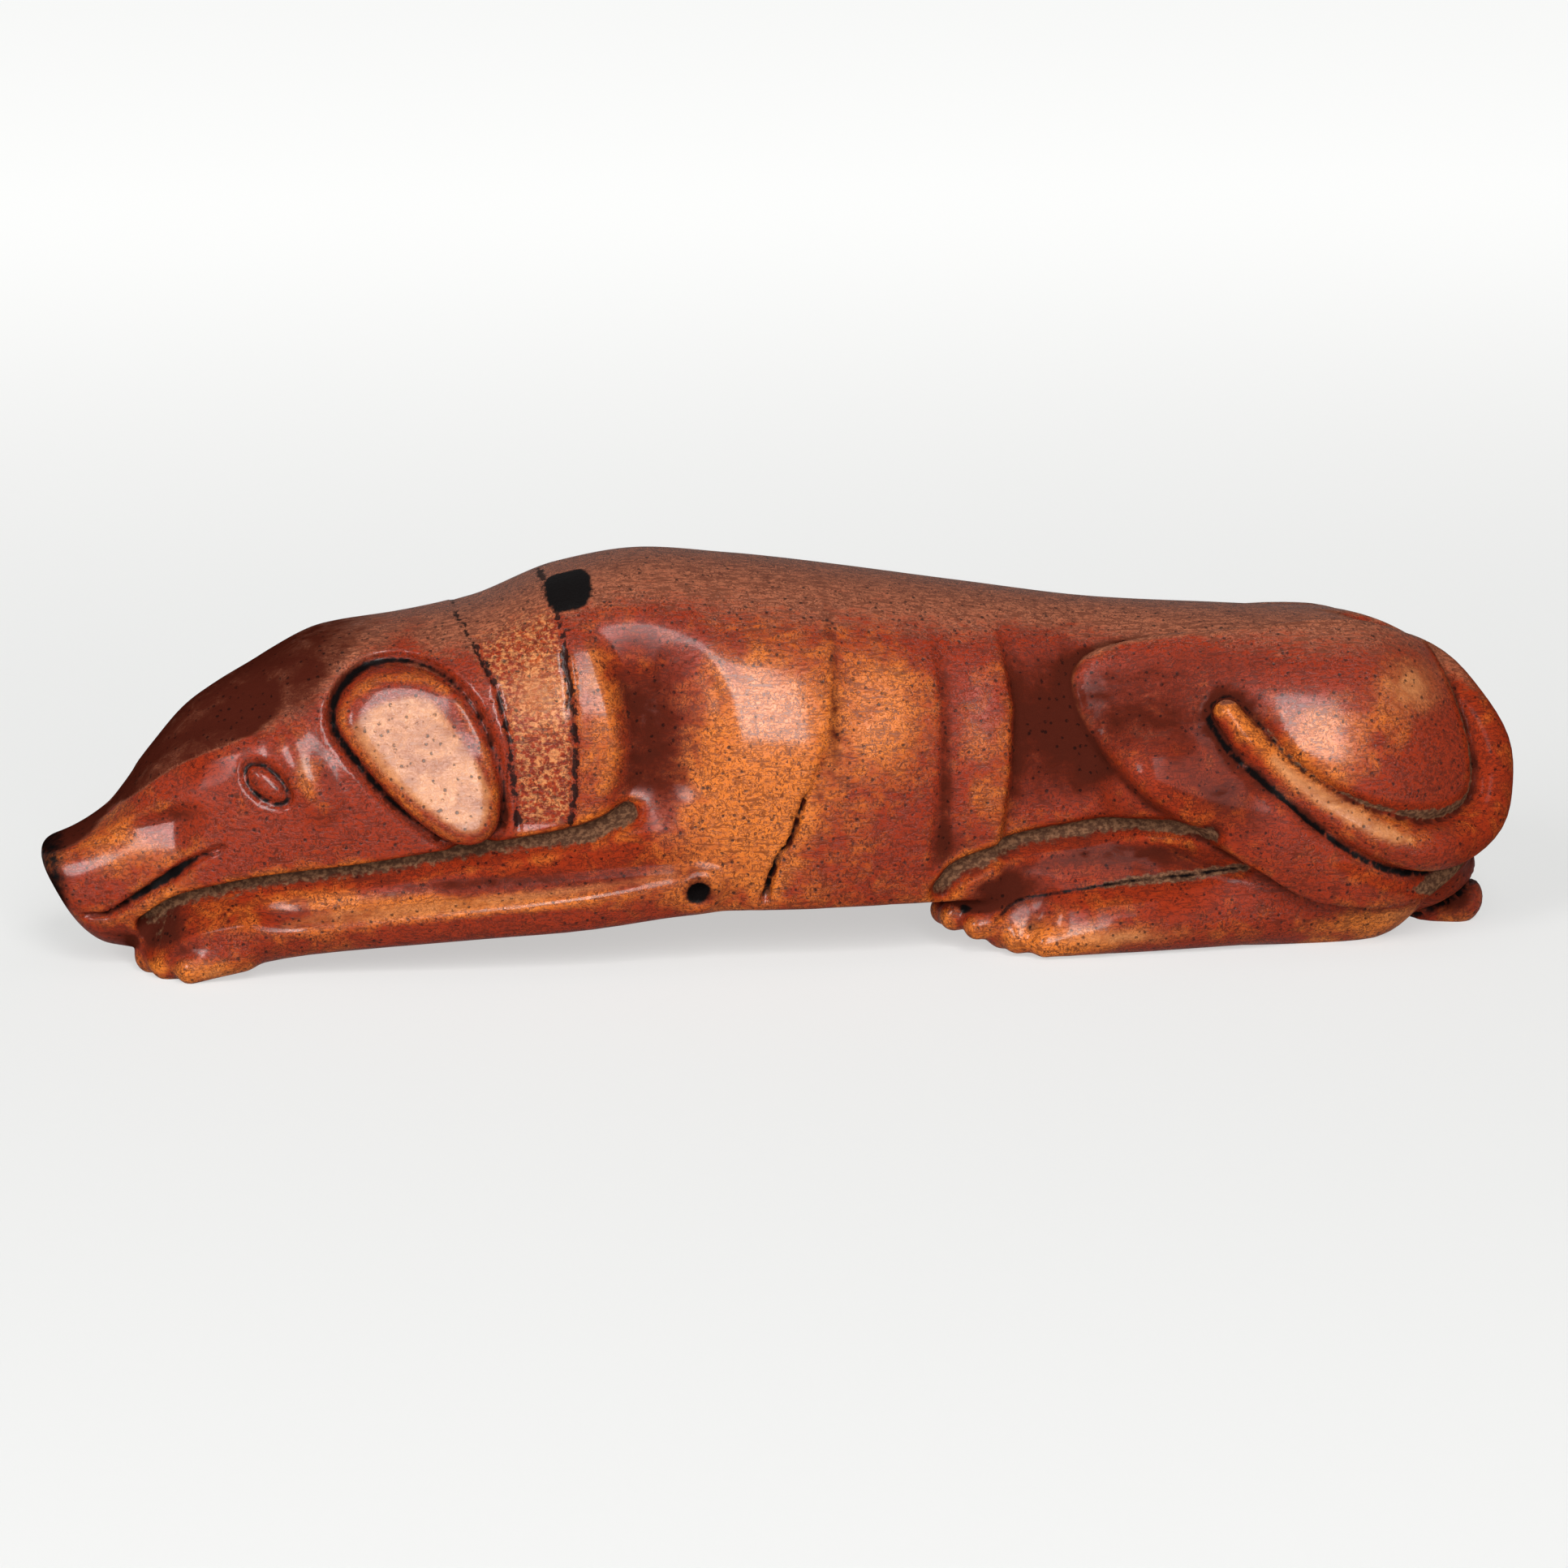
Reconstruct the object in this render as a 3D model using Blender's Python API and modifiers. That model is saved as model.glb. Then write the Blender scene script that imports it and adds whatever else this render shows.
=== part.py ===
"""Carved wooden snuff box in the form of a sleeping hound, hollowed from below and closed by a plug lid.

Metres, +Z up. The hound's nose points along -X, its near side faces -Y and it stands on z = 0.
The figure is carved from a block. A field gives how far any point lies outside the carved
surface, and the block's skin is drawn in to that surface and meshed again until it lies on it.
"""

import bmesh
import bpy
import numpy as np
from mathutils import Matrix

# Driving dimensions, in metres
HOUND_LENGTH = 0.1195
WALL = 0.0038
HOLLOW_LENGTH = 0.046
HOLLOW_HEIGHT = 0.018
LID_LENGTH = 0.040
LID_WIDTH = 0.0175
LID_THICKNESS = 0.0021
LID_EDGE = 0.0004
PLUG_DEPTH = 0.0016
LEDGE = 0.0017
CLEARANCE = 0.0003
NAIL_NOTCH = 0.0022
NOTCH_DEPTH = 0.0008

# The figure's own proportions are in carver's millimetres, on a hound 119.5 long.
# Its middle comes over the frame's origin, and its belly is flat from the elbows to the flank.
FIGURE_LENGTH = 119.5
SCALE = HOUND_LENGTH / FIGURE_LENGTH
MIDDLE = (0.8, -0.4)
BELLY = 4.6
CHEST_HALF_WIDTH = 14.2
HOLLOW_PLACE = (-2.0, 0.2, 16.5)
LID_PLACE = (-7.0, 0.0, BELLY)

# Wood colours: linear red, green and blue, with roughness
STAINED_WOOD = ((0.30, 0.065, 0.018, 1.0), 0.32)
LID_WOOD = ((0.26, 0.075, 0.024, 1.0), 0.42)

# The trunk from nose to rump. Each row is the place along the back, the offset of the middle,
# the half width, the heights of the widest point, the back and the underside, and squareness.
TRUNK = (
    (-62.0, -3.6, 4.8, 6.4, 9.2, 2.6, 2.4),
    (-57.3, -3.2, 5.2, 7.0, 10.4, 2.4, 2.5),
    (-53.8, -2.8, 6.1, 7.8, 12.3, 1.6, 2.6),
    (-50.0, -2.3, 7.6, 9.0, 15.8, 0.8, 2.6),
    (-46.0, -1.9, 9.2, 10.6, 21.0, 0.0, 2.5),
    (-42.0, -1.5, 10.3, 12.0, 24.2, -1.0, 2.4),
    (-36.0, -1.1, 11.2, 13.0, 26.4, -2.0, 2.3),
    (-30.0, -0.8, 11.6, 13.5, 27.2, -3.0, 2.3),
    (-24.0, -0.5, 12.0, 14.0, 28.2, -4.0, 2.2),
    (-17.0, -0.2, 12.8, 14.2, 30.7, -5.0, 2.2),
    (-10.0, 0.0, 13.8, 14.2, 31.8, -6.0, 2.2),
    (-3.0, 0.2, 14.4, 14.0, 31.2, -6.0, 2.2),
    (6.0, 0.3, 14.2, 13.6, 30.0, -6.0, 2.2),
    (16.0, 0.3, 13.2, 13.2, 28.5, -6.0, 2.2),
    (26.0, 0.2, 12.8, 12.8, 27.1, -5.0, 2.2),
    (36.0, 0.0, 13.0, 12.4, 26.1, -4.0, 2.3),
    (46.0, -0.2, 13.0, 12.0, 25.8, -4.0, 2.3),
    (62.0, -0.6, 13.0, 11.4, 26.0, -4.0, 2.3),
)
RUMP_FROM = 44.0
RUMP_END = 59.2
RUMP_WIDTH_POWER = 0.85
RUMP_HEIGHT_POWER = 1.1
NOSE_POINT = (-58.1, 0.0, 7.0)
NOSE_FACING = (-0.89, 0.0, -0.45)
NOSE_ROUND = 1.8
ARRIS = 1.0
HIP_FILLET = 3.0
LIMB_FILLET = 1.2
TOE_FILLET = 0.9

# Height of the underside along the body, which arches between the paws and the hind feet
UNDERSIDE = (
    (-62.0, -4.0),
    (-46.0, 0.0),
    (-37.0, 2.8),
    (-30.0, BELLY),
    (14.0, BELLY),
    (22.0, 3.0),
    (30.0, -0.5),
    (62.0, -0.5),
)

# Limbs are rows of x, y, z and radius, drawn for the near side
FORELEG = (
    (-8.0, -10.6, 8.6, 3.6),
    (-16.0, -11.4, 7.5, 3.6),
    (-25.0, -11.2, 6.6, 3.3),
    (-38.4, -10.2, 5.2, 3.0),
    (-44.5, -9.2, 3.7, 3.3),
    (-48.0, -8.4, 2.7, 3.0),
)
FORE_TOES = (
    ((-45.0, -5.6, 2.6, 1.8), (-49.9, -5.2, 1.2, 1.3)),
    ((-45.0, -7.6, 2.9, 1.8), (-50.4, -7.4, 1.2, 1.35)),
    ((-44.5, -9.6, 2.7, 1.8), (-49.2, -9.6, 1.2, 1.35)),
    ((-43.5, -11.2, 2.2, 1.5), (-47.4, -11.5, 1.1, 1.2)),
)
HAUNCH = ((39.5, -6.0, 15.2), (16.5, 7.6, 9.8))
SHIN = (
    (29.0, -9.6, 14.0, 4.4),
    (37.0, -10.4, 10.6, 3.8),
    (45.0, -9.8, 7.2, 3.2),
    (51.0, -8.4, 4.4, 2.9),
)
NEAR_FOOT = (
    (51.5, -7.2, 3.3, 3.1),
    (44.0, -9.0, 3.3, 3.3),
    (36.0, -10.0, 3.5, 3.4),
    (28.0, -10.4, 3.0, 3.1),
    (23.0, -10.2, 2.6, 2.8),
)
NEAR_TOES = (
    ((24.0, -8.2, 2.4, 1.6), (18.4, -7.8, 1.5, 1.2)),
    ((24.0, -9.8, 2.6, 1.7), (17.8, -9.6, 1.6, 1.3)),
    ((24.4, -11.2, 2.3, 1.6), (18.8, -11.2, 1.5, 1.25)),
    ((25.4, -12.4, 1.9, 1.3), (20.8, -12.5, 1.3, 1.1)),
)
FAR_FOOT = (
    (40.0, -6.5, 7.2, 3.0),
    (30.0, -8.6, 7.3, 3.0),
    (22.0, -8.2, 6.6, 2.9),
    (17.0, -7.2, 5.2, 2.6),
)
FAR_TOES = (
    ((18.0, -5.0, 4.2, 1.5), (13.2, -4.4, 2.8, 1.2)),
    ((18.0, -6.4, 4.7, 1.6), (12.2, -6.0, 3.2, 1.25)),
    ((18.2, -8.0, 4.8, 1.6), (12.6, -7.8, 3.3, 1.25)),
    ((19.0, -9.4, 4.4, 1.4), (14.2, -9.4, 3.0, 1.1)),
)
HEEL = ((46.0, 5.0, 3.4, 3.8), (52.0, 2.6, 3.0, 3.2), (57.0, -0.2, 2.7, 2.9))
FAR_HIP = ((36.0, 5.0, 8.0), (17.0, 9.0, 9.0))
TAIL = (
    (44.0, 0.0, 21.5, 2.4),
    (52.6, -1.2, 19.6, 2.5),
    (55.8, -2.2, 17.2, 2.6),
    (57.6, -3.4, 14.4, 2.7),
    (57.6, -4.8, 12.2, 2.7),
    (55.8, -7.2, 10.1, 2.6),
    (51.5, -10.4, 9.1, 2.5),
    (46.6, -12.8, 9.8, 2.3),
    (42.2, -14.0, 11.9, 2.1),
    (38.7, -14.4, 15.1, 1.9),
    (36.0, -14.2, 18.2, 1.6),
    (34.4, -13.8, 20.4, 1.3),
)
BROW = ((-49.8, -6.2, 14.4, 1.0), (-48.4, -6.9, 15.8, 1.2), (-46.0, -7.4, 16.9, 1.5), (-43.0, -8.0, 17.6, 1.6))
TEMPLE = ((-38.5, -9.6, 16.2), (1.7, 1.9, 3.2))

# Outlines and lines cut into the sides, as x and z
EAR = (
    (-35.4, 21.0),
    (-34.2, 23.0),
    (-31.2, 24.2),
    (-28.1, 23.7),
    (-25.5, 21.6),
    (-24.0, 18.7),
    (-23.4, 15.5),
    (-23.8, 12.6),
    (-25.7, 11.4),
    (-29.0, 13.2),
    (-32.2, 16.6),
    (-34.6, 19.2),
)
THIGH = (
    (21.8, 21.6),
    (22.6, 23.4),
    (26.0, 24.3),
    (36.0, 24.3),
    (48.0, 24.3),
    (58.0, 20.0),
    (56.0, 6.0),
    (44.0, 5.0),
    (36.7, 8.1),
    (30.7, 12.4),
    (26.0, 17.6),
    (22.8, 19.8),
)
LEG_GROOVE = (
    (-13.6, 13.5),
    (-16.6, 12.4),
    (-21.8, 11.2),
    (-27.1, 10.0),
    (-37.5, 8.6),
    (-42.7, 8.0),
    (-46.6, 7.2),
    (-49.2, 6.1),
    (-50.9, 4.2),
)
BELLY_GROOVE = ((11.6, 6.2), (14.6, 8.8), (20.6, 10.6), (26.7, 11.2), (33.5, 11.2))
# Lines down the sides, as z and x
FOLD = ((13.5, -13.9), (15.5, -13.1), (18.8, -12.6), (22.0, -13.0), (25.8, -14.2), (28.4, -16.1))
RIBS = (
    ((5.8, -2.3), (10.3, -0.9), (14.6, 0.3), (19.8, 2.4), (28.0, 3.8)),
    ((9.3, 10.4), (14.8, 11.3), (20.8, 11.6), (26.0, 10.8)),
    ((9.3, 15.6), (14.6, 16.4), (20.6, 16.7), (26.0, 15.8)),
)

# The block around the figure, the grids it is drawn in over, and the triangles that its skin keeps
BLOCK_LOW = (-62.0, -18.0, -1.0)
BLOCK_HIGH = (62.5, 17.0, 33.0)
GRIDS = (3.0, 2.0, 1.3, 0.8)
SMOOTHINGS_PER_GRID = 3
STEPS_PER_SMOOTHING = 3
NUDGE = 0.02
FAR_AWAY = 1e6

# How far the rebate's cutter reaches below the floor, and the height of the mouth's cutter
REACH = 0.001
MOUTH_HEIGHT = 0.0085
SKIN_FACES = 6400


def along_table(table, x):
    """The columns of a table at x, on a smooth curve that never overshoots its rows."""
    rows = np.asarray(table, float)
    places, values = rows[:, 0], rows[:, 1:]
    spans = np.diff(places)[:, None]
    slopes = np.diff(values, axis=0) / spans
    before, after = slopes[:-1], slopes[1:]
    total = np.where(before * after > 0, before + after, 1.0)
    tangents = np.zeros_like(values)
    tangents[1:-1] = np.where(before * after > 0, 2 * before * after / total, 0.0)
    tangents[0], tangents[-1] = slopes[0], slopes[-1]
    i = np.clip(np.searchsorted(places, x) - 1, 0, len(places) - 2)
    span = spans[i]
    t = np.clip((x[:, None] - places[i][:, None]) / span, 0.0, 1.0)
    start = values[i] * (1 + 2 * t) * (1 - t) ** 2 + span * tangents[i] * t * (1 - t) ** 2
    end = values[i + 1] * t * t * (3 - 2 * t) - span * tangents[i + 1] * t * t * (1 - t)
    return start + end


def smooth_curve(rows, closed=False, samples=6):
    """Points on a smooth curve through the rows."""
    rows = np.asarray(rows, float)
    if closed:
        ends = (rows[-1:], rows[:1], rows[1:2])
    else:
        ends = (2 * rows[:1] - rows[1:2], 2 * rows[-1:] - rows[-2:-1], rows[:0])
    q = np.vstack([ends[0], rows, ends[1], ends[2]])
    t = (np.arange(samples) / samples)[:, None]
    points = [
        0.5 * (2 * b + (c - a) * t + (2 * a - 5 * b + 4 * c - d) * t**2 + (3 * b - a - 3 * c + d) * t**3)
        for a, b, c, d in zip(q[:-3], q[1:-2], q[2:-1], q[3:])
    ]
    if not closed:
        points.append(rows[-1:])
    return np.vstack(points)


def joined(first, second, blend):
    """Two solids made one, with a fillet of about the blend's size."""
    h = np.clip(blend - np.abs(first - second), 0.0, None) / blend
    return np.minimum(first, second) - h * h * blend / 4


def shared(first, second, blend):
    """What lies in both solids, with its edge rounded by about the blend's size."""
    h = np.clip(blend - np.abs(first - second), 0.0, None) / blend
    return np.maximum(first, second) + h * h * blend / 4


def eased(value, low, high):
    """0 below low, 1 above high and a soft step between."""
    t = np.clip((value - low) / (high - low), 0.0, 1.0)
    return t * t * (3 - 2 * t)


def rounded_dip(distance, width):
    """A gouge's profile: 1 on its line and 0 at half its width."""
    t = np.clip(2 * distance / width, 0.0, 1.0)
    return (1 - t * t) ** 2


def limb(points, rows, samples=4):
    """Distance outside a round limb that follows rows of x, y, z and radius."""
    line = smooth_curve(rows, samples=samples)
    reach = line[:, 3].max() + 6.0
    low, high = line[:, :3].min(axis=0) - reach, line[:, :3].max(axis=0) + reach
    near = np.all((points > low) & (points < high), axis=1)
    q = points[near]
    best = np.full(len(q), FAR_AWAY)
    for a, b in zip(line[:-1], line[1:]):
        run = b[:3] - a[:3]
        t = np.clip((q - a[:3]) @ run / (run @ run), 0.0, 1.0)
        radius = a[3] + (b[3] - a[3]) * t
        best = np.minimum(best, np.linalg.norm(q - a[:3] - t[:, None] * run, axis=1) - radius)
    distance = np.full(len(points), FAR_AWAY)
    distance[near] = best
    return distance


def egg(points, centre, radii):
    """Distance outside an ellipsoid, close to true near its surface."""
    q = (points - np.array(centre)) / np.array(radii)
    out = np.linalg.norm(q, axis=1)
    pull = np.linalg.norm(q / np.array(radii), axis=1)
    return out * (out - 1) / np.maximum(pull, 1e-9)


def from_line(flat, line):
    """Distance of points in a plane from an open line."""
    best = np.full(len(flat), FAR_AWAY)
    for a, b in zip(line[:-1], line[1:]):
        run = b - a
        t = np.clip((flat - a) @ run / (run @ run), 0.0, 1.0)
        best = np.minimum(best, np.linalg.norm(flat - a - t[:, None] * run, axis=1))
    return best


def from_outline(flat, ring):
    """Distance of points in a plane from a closed outline, below zero inside it."""
    distance = from_line(flat, np.vstack([ring, ring[:1]]))
    x, y = flat.T
    inside = np.zeros(len(flat), bool)
    for a, b in zip(ring, np.roll(ring, -1, axis=0)):
        crosses = (a[1] > y) != (b[1] > y)
        rise = b[1] - a[1] if b[1] != a[1] else 1e-9
        inside ^= crosses & (x < (b[0] - a[0]) * (y - a[1]) / rise + a[0])
    return np.where(inside, -distance, distance)


def mirrored(rows):
    """The same limb on the far side of the trunk's middle."""
    rows = np.array(rows, float)
    rows[:, 1] = 2 * along_table(TRUNK, rows[:, 0])[:, 0] - rows[:, 1]
    return rows


def beside(x, z, line):
    """How far x lies behind a line down the side, given as heights and places."""
    heights, places = zip(*line)
    return x - np.interp(z, heights, places)


def trunk_field(points):
    """The trunk with the neck and head, and the height of each point's place on its skin.

    The place is straight in towards the trunk's middle, so that lines cut there meet the skin squarely.
    """
    x, y, z = points.T
    middle, width, waist, back, low, square = along_table(TRUNK, x).T
    share = np.clip(x - RUMP_FROM, 0.0, None) / (RUMP_END - RUMP_FROM)
    round_off = np.sqrt(np.clip(1 - share**2, 0.0004, 1.0))
    width = width * round_off**RUMP_WIDTH_POWER
    above = (back - waist) * round_off**RUMP_HEIGHT_POWER
    below = (waist - low) * round_off
    height = np.where(z > waist, above, below)
    ring = np.abs((y - middle) / width) ** square + np.abs((z - waist) / height) ** square
    reach = np.maximum(ring ** (1 / square), 0.3)
    field = (reach - 1) * np.minimum(width, above)
    field = shared(field, x - RUMP_END, ARRIS)
    field = shared(field, (points - np.array(NOSE_POINT)) @ np.array(NOSE_FACING), NOSE_ROUND)
    return field, waist + (z - waist) / reach


def side_relief(points, skin_z, field):
    """Cuts the ear, the folds and the ribs into both sides, and raises the thigh."""
    x, y, _ = points.T
    middle = along_table(TRUNK, x)[:, 0]
    flat = np.column_stack([x, skin_z])
    aside = eased(np.abs(y - middle), 1.5, 4.0)
    near = eased(middle - y, 1.5, 4.0)
    ear = from_outline(flat, smooth_curve(EAR, closed=True))
    field = field - aside * (0.8 * eased(-ear, 0.0, 1.2) - 0.8 * rounded_dip(np.abs(ear - 0.6), 2.0))
    thigh = from_outline(flat, smooth_curve(THIGH, closed=True))
    field = field - aside * 1.2 * eased(-thigh, -0.2, 0.6) * eased(-x, -50.0, -38.0)
    groove = from_line(flat, smooth_curve(LEG_GROOVE))
    field = field + aside * 1.5 * rounded_dip(groove, 2.4)
    groove = from_line(flat, smooth_curve(BELLY_GROOVE))
    field = field + near * 1.2 * rounded_dip(groove, 2.6)
    fold = beside(x, skin_z, FOLD)
    valley = eased(fold, -0.6, 0.9) * eased(-fold, -9.0, -3.0) * eased(skin_z, 8.0, 13.0)
    field = field + 1.5 * valley * eased(-skin_z, -29.5, -22.0) * aside
    upright = eased(skin_z, 5.0, 9.0) * eased(-skin_z, -27.0, -21.0)
    for line in RIBS:
        field = field + 0.45 * rounded_dip(np.abs(beside(x, skin_z, line)), 3.0) * upright
    return field


def hound_field(points):
    """How far each point lies outside the carved hound, in carver's millimetres."""
    x, _, z = points.T
    field, skin_z = trunk_field(points)
    field = joined(field, egg(points, *HAUNCH), HIP_FILLET)
    field = joined(field, egg(points, *FAR_HIP), HIP_FILLET)
    underside = along_table(UNDERSIDE, x)[:, 0]
    field = shared(field, underside - z, ARRIS)
    for mirror in (tuple, mirrored):
        field = joined(field, limb(points, mirror(BROW)), 2.0)
        field = joined(field, limb(points, mirror(FORELEG)), LIMB_FILLET)
    field = joined(field, egg(points, *TEMPLE), 1.5)
    field = joined(field, limb(points, SHIN), 1.5)
    field = side_relief(points, skin_z, field)
    for foot, toes in ((NEAR_FOOT, NEAR_TOES), (FAR_FOOT, FAR_TOES)):
        paw = limb(points, foot)
        for toe in toes:
            paw = joined(paw, limb(points, toe), TOE_FILLET)
        field = joined(field, paw, LIMB_FILLET)
    for mirror in (tuple, mirrored):
        for toe in FORE_TOES:
            field = joined(field, limb(points, mirror(toe)), TOE_FILLET)
    field = joined(field, limb(points, HEEL), LIMB_FILLET)
    tail = limb(points, TAIL)
    field = field + 0.6 * rounded_dip(np.abs(tail), 3.0)
    return joined(field, tail, LIMB_FILLET)


def smooth_skin(mesh):
    """Evens out the skin, so that its points spread before they are drawn in."""
    skin = bmesh.new()
    skin.from_mesh(mesh)
    bmesh.ops.smooth_vert(skin, verts=skin.verts, factor=0.5, use_axis_x=True, use_axis_y=True, use_axis_z=True)
    skin.to_mesh(mesh)
    skin.free()


def steepest_ways(points, field):
    """Unit directions in which the field grows fastest."""
    here = field(points)
    ways = np.empty_like(points)
    for axis in range(3):
        shifted = points.copy()
        shifted[:, axis] += NUDGE
        ways[:, axis] = field(shifted) - here
    return ways / np.maximum(np.linalg.norm(ways, axis=1), 1e-9)[:, None]


def draw_in(mesh, field, longest, keeps_even):
    """Moves the skin's points to the field's surface, straight there or along the skin's normals."""
    values = np.empty(len(mesh.vertices) * 3, np.float32)
    mesh.vertices.foreach_get("co", values)
    points = values.reshape(-1, 3).astype(float)
    mesh.vertex_normals.foreach_get("vector", values)
    ways = values.reshape(-1, 3).astype(float) if keeps_even else steepest_ways(points, field)
    here = field(points)
    steepness = (field(points + NUDGE * ways) - here) / NUDGE
    move = np.clip(-here / np.maximum(steepness, 0.4), -longest, longest)
    points = points + move[:, None] * ways
    mesh.vertices.foreach_set("co", points.astype(np.float32).ravel())
    mesh.update()


def evaluated_copy(mesh, add_modifiers):
    """The mesh that comes out of the modifiers which add_modifiers puts on it."""
    holder = bpy.data.objects.new("blank", mesh)
    bpy.context.scene.collection.objects.link(holder)
    add_modifiers(holder)
    graph = bpy.context.evaluated_depsgraph_get()
    result = bpy.data.meshes.new_from_object(holder.evaluated_get(graph))
    bpy.data.objects.remove(holder)
    return result


def regridded(mesh, size):
    """The same closed skin, meshed again on an even grid."""

    def add(holder):
        remesh = holder.modifiers.new("grid", "REMESH")
        remesh.mode = "VOXEL"
        remesh.voxel_size = size

    return evaluated_copy(mesh, add)


def thinned(mesh, faces):
    """The same skin with about this many triangles, most of them where it curves."""

    def add(holder):
        holder.modifiers.new("triangles", "TRIANGULATE")
        thin = holder.modifiers.new("thin", "DECIMATE")
        thin.ratio = faces / (2 * len(mesh.polygons))

    return evaluated_copy(mesh, add)


def carved(field, low, high):
    """The field's solid, drawn in from a block between two corners."""
    block = bmesh.new()
    size = [b - a for a, b in zip(low, high)]
    middle = [(a + b) / 2 for a, b in zip(low, high)]
    bmesh.ops.create_cube(block, size=1.0, matrix=Matrix.Diagonal((*size, 1.0)))
    bmesh.ops.translate(block, verts=block.verts, vec=middle)
    mesh = bpy.data.meshes.new("skin")
    block.to_mesh(mesh)
    block.free()
    for grid in GRIDS:
        mesh = regridded(mesh, grid)
        for _ in range(SMOOTHINGS_PER_GRID):
            smooth_skin(mesh)
            for _ in range(STEPS_PER_SMOOTHING):
                draw_in(mesh, field, grid, keeps_even=grid == GRIDS[-1])
    return mesh


def placed(point):
    """A point of the figure, in metres in the box's frame."""
    x, y, z = point
    return ((x - MIDDLE[0]) * SCALE, (y - MIDDLE[1]) * SCALE, z * SCALE)


def flatten_soles(mesh):
    """Cuts the paws and feet off level at z = 0."""
    skin = bmesh.new()
    skin.from_mesh(mesh)
    geometry = [*skin.verts, *skin.edges, *skin.faces]
    cut = bmesh.ops.bisect_plane(
        skin, geom=geometry, dist=1e-7, plane_co=(0, 0, 0), plane_no=(0, 0, -1), clear_outer=True
    )
    edges = [item for item in cut["geom_cut"] if isinstance(item, bmesh.types.BMEdge)]
    bmesh.ops.edgenet_fill(skin, edges=edges)
    bmesh.ops.recalc_face_normals(skin, faces=skin.faces)
    skin.to_mesh(mesh)
    skin.free()


def collection(name):
    """A new collection in the scene."""
    group = bpy.data.collections.new(name)
    bpy.context.scene.collection.children.link(group)
    return group


def material(name, finish):
    """A Principled material with a colour and a roughness."""
    colour, roughness = finish
    shade = bpy.data.materials.new(name)
    shade.use_nodes = True
    principled = shade.node_tree.nodes["Principled BSDF"]
    principled.inputs["Base Color"].default_value = colour
    principled.inputs["Roughness"].default_value = roughness
    return shade


def oval(name, group, length, width, height, place):
    """An oval disc that stands on its place, its long axis along X."""
    disc = bmesh.new()
    bmesh.ops.create_cone(
        disc, cap_ends=True, segments=64, radius1=0.5, radius2=0.5, depth=1.0,
        matrix=Matrix.Diagonal((length, width, height, 1.0)),
    )
    bmesh.ops.translate(disc, verts=disc.verts, vec=(0, 0, height / 2))
    return add_object(name, group, disc, place)


def ball(name, group, length, width, height, place):
    """An egg-shaped solid about its place."""
    egg_shape = bmesh.new()
    bmesh.ops.create_uvsphere(
        egg_shape, u_segments=36, v_segments=18, radius=0.5,
        matrix=Matrix.Diagonal((length, width, height, 1.0)),
    )
    return add_object(name, group, egg_shape, place)


def add_object(name, group, shape, place):
    """Turns a bmesh into a named object at its place."""
    mesh = bpy.data.meshes.new(name)
    shape.to_mesh(mesh)
    shape.free()
    item = bpy.data.objects.new(name, mesh)
    item.location = place
    group.objects.link(item)
    return item


def boolean(item, tool, operation):
    """Cuts the tool from the item, or joins it on, and hides the tool."""
    cut = item.modifiers.new(tool.name, "BOOLEAN")
    cut.operation = operation
    cut.object = tool
    cut.solver = "EXACT"
    tool.hide_render = True
    tool.display_type = "WIRE"


def make_hound(group, tools):
    """The carved body, with its hollow, the hollow's mouth and the rebate for the lid."""
    mesh = thinned(carved(hound_field, BLOCK_LOW, BLOCK_HIGH), SKIN_FACES)
    mesh.transform(Matrix.Scale(SCALE, 4) @ Matrix.Translation((-MIDDLE[0], -MIDDLE[1], 0.0)))
    flatten_soles(mesh)
    mesh.name = "hound"
    mesh.shade_smooth()
    mesh.materials.append(material("stained_wood", STAINED_WOOD))
    hound = bpy.data.objects.new("hound", mesh)
    group.objects.link(hound)

    x, y, belly = placed(LID_PLACE)
    rebate = oval(
        "rebate", tools, LID_LENGTH + 2 * CLEARANCE, LID_WIDTH + 2 * CLEARANCE,
        belly + LID_THICKNESS + CLEARANCE + REACH, (x, y, -REACH),
    )
    mouth = oval(
        "mouth", tools, LID_LENGTH - 2 * LEDGE, LID_WIDTH - 2 * LEDGE, MOUTH_HEIGHT, (x, y, belly)
    )
    hollow_width = 2 * (CHEST_HALF_WIDTH * SCALE - WALL)
    hollow = ball("hollow", tools, HOLLOW_LENGTH, hollow_width, HOLLOW_HEIGHT, placed(HOLLOW_PLACE))
    for tool in (hollow, mouth, rebate):
        boolean(hound, tool, "DIFFERENCE")
    return hound


def make_lid(group, tools):
    """The oval plug lid in the belly, with a notch for a fingernail."""
    x, y, belly = placed(LID_PLACE)
    lid = oval("lid", group, LID_LENGTH, LID_WIDTH, LID_THICKNESS, (x, y, belly))
    lid.data.materials.append(material("lid_wood", LID_WOOD))
    edge = lid.modifiers.new("worn edge", "BEVEL")
    edge.width = LID_EDGE
    edge.segments = 2
    edge.limit_method = "ANGLE"
    play = 2 * (LEDGE + CLEARANCE)
    plug = oval(
        "plug", tools, LID_LENGTH - play, LID_WIDTH - play, LID_THICKNESS / 2 + PLUG_DEPTH,
        (x, y, belly + LID_THICKNESS / 2),
    )
    boolean(lid, plug, "UNION")
    notch_x = x + LID_LENGTH / 2 - LEDGE
    notch = ball("notch", tools, 2 * NAIL_NOTCH, 3 * NAIL_NOTCH, 2 * NOTCH_DEPTH, (notch_x, y, belly))
    boolean(lid, notch, "DIFFERENCE")
    return lid


def main():
    """Clears the scene and makes the two pieces."""
    for item in list(bpy.data.objects):
        bpy.data.objects.remove(item)
    group = collection("snuff_box")
    tools = collection("cutters")
    make_hound(group, tools)
    make_lid(group, tools)


if __name__ == "__main__":
    main()
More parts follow.
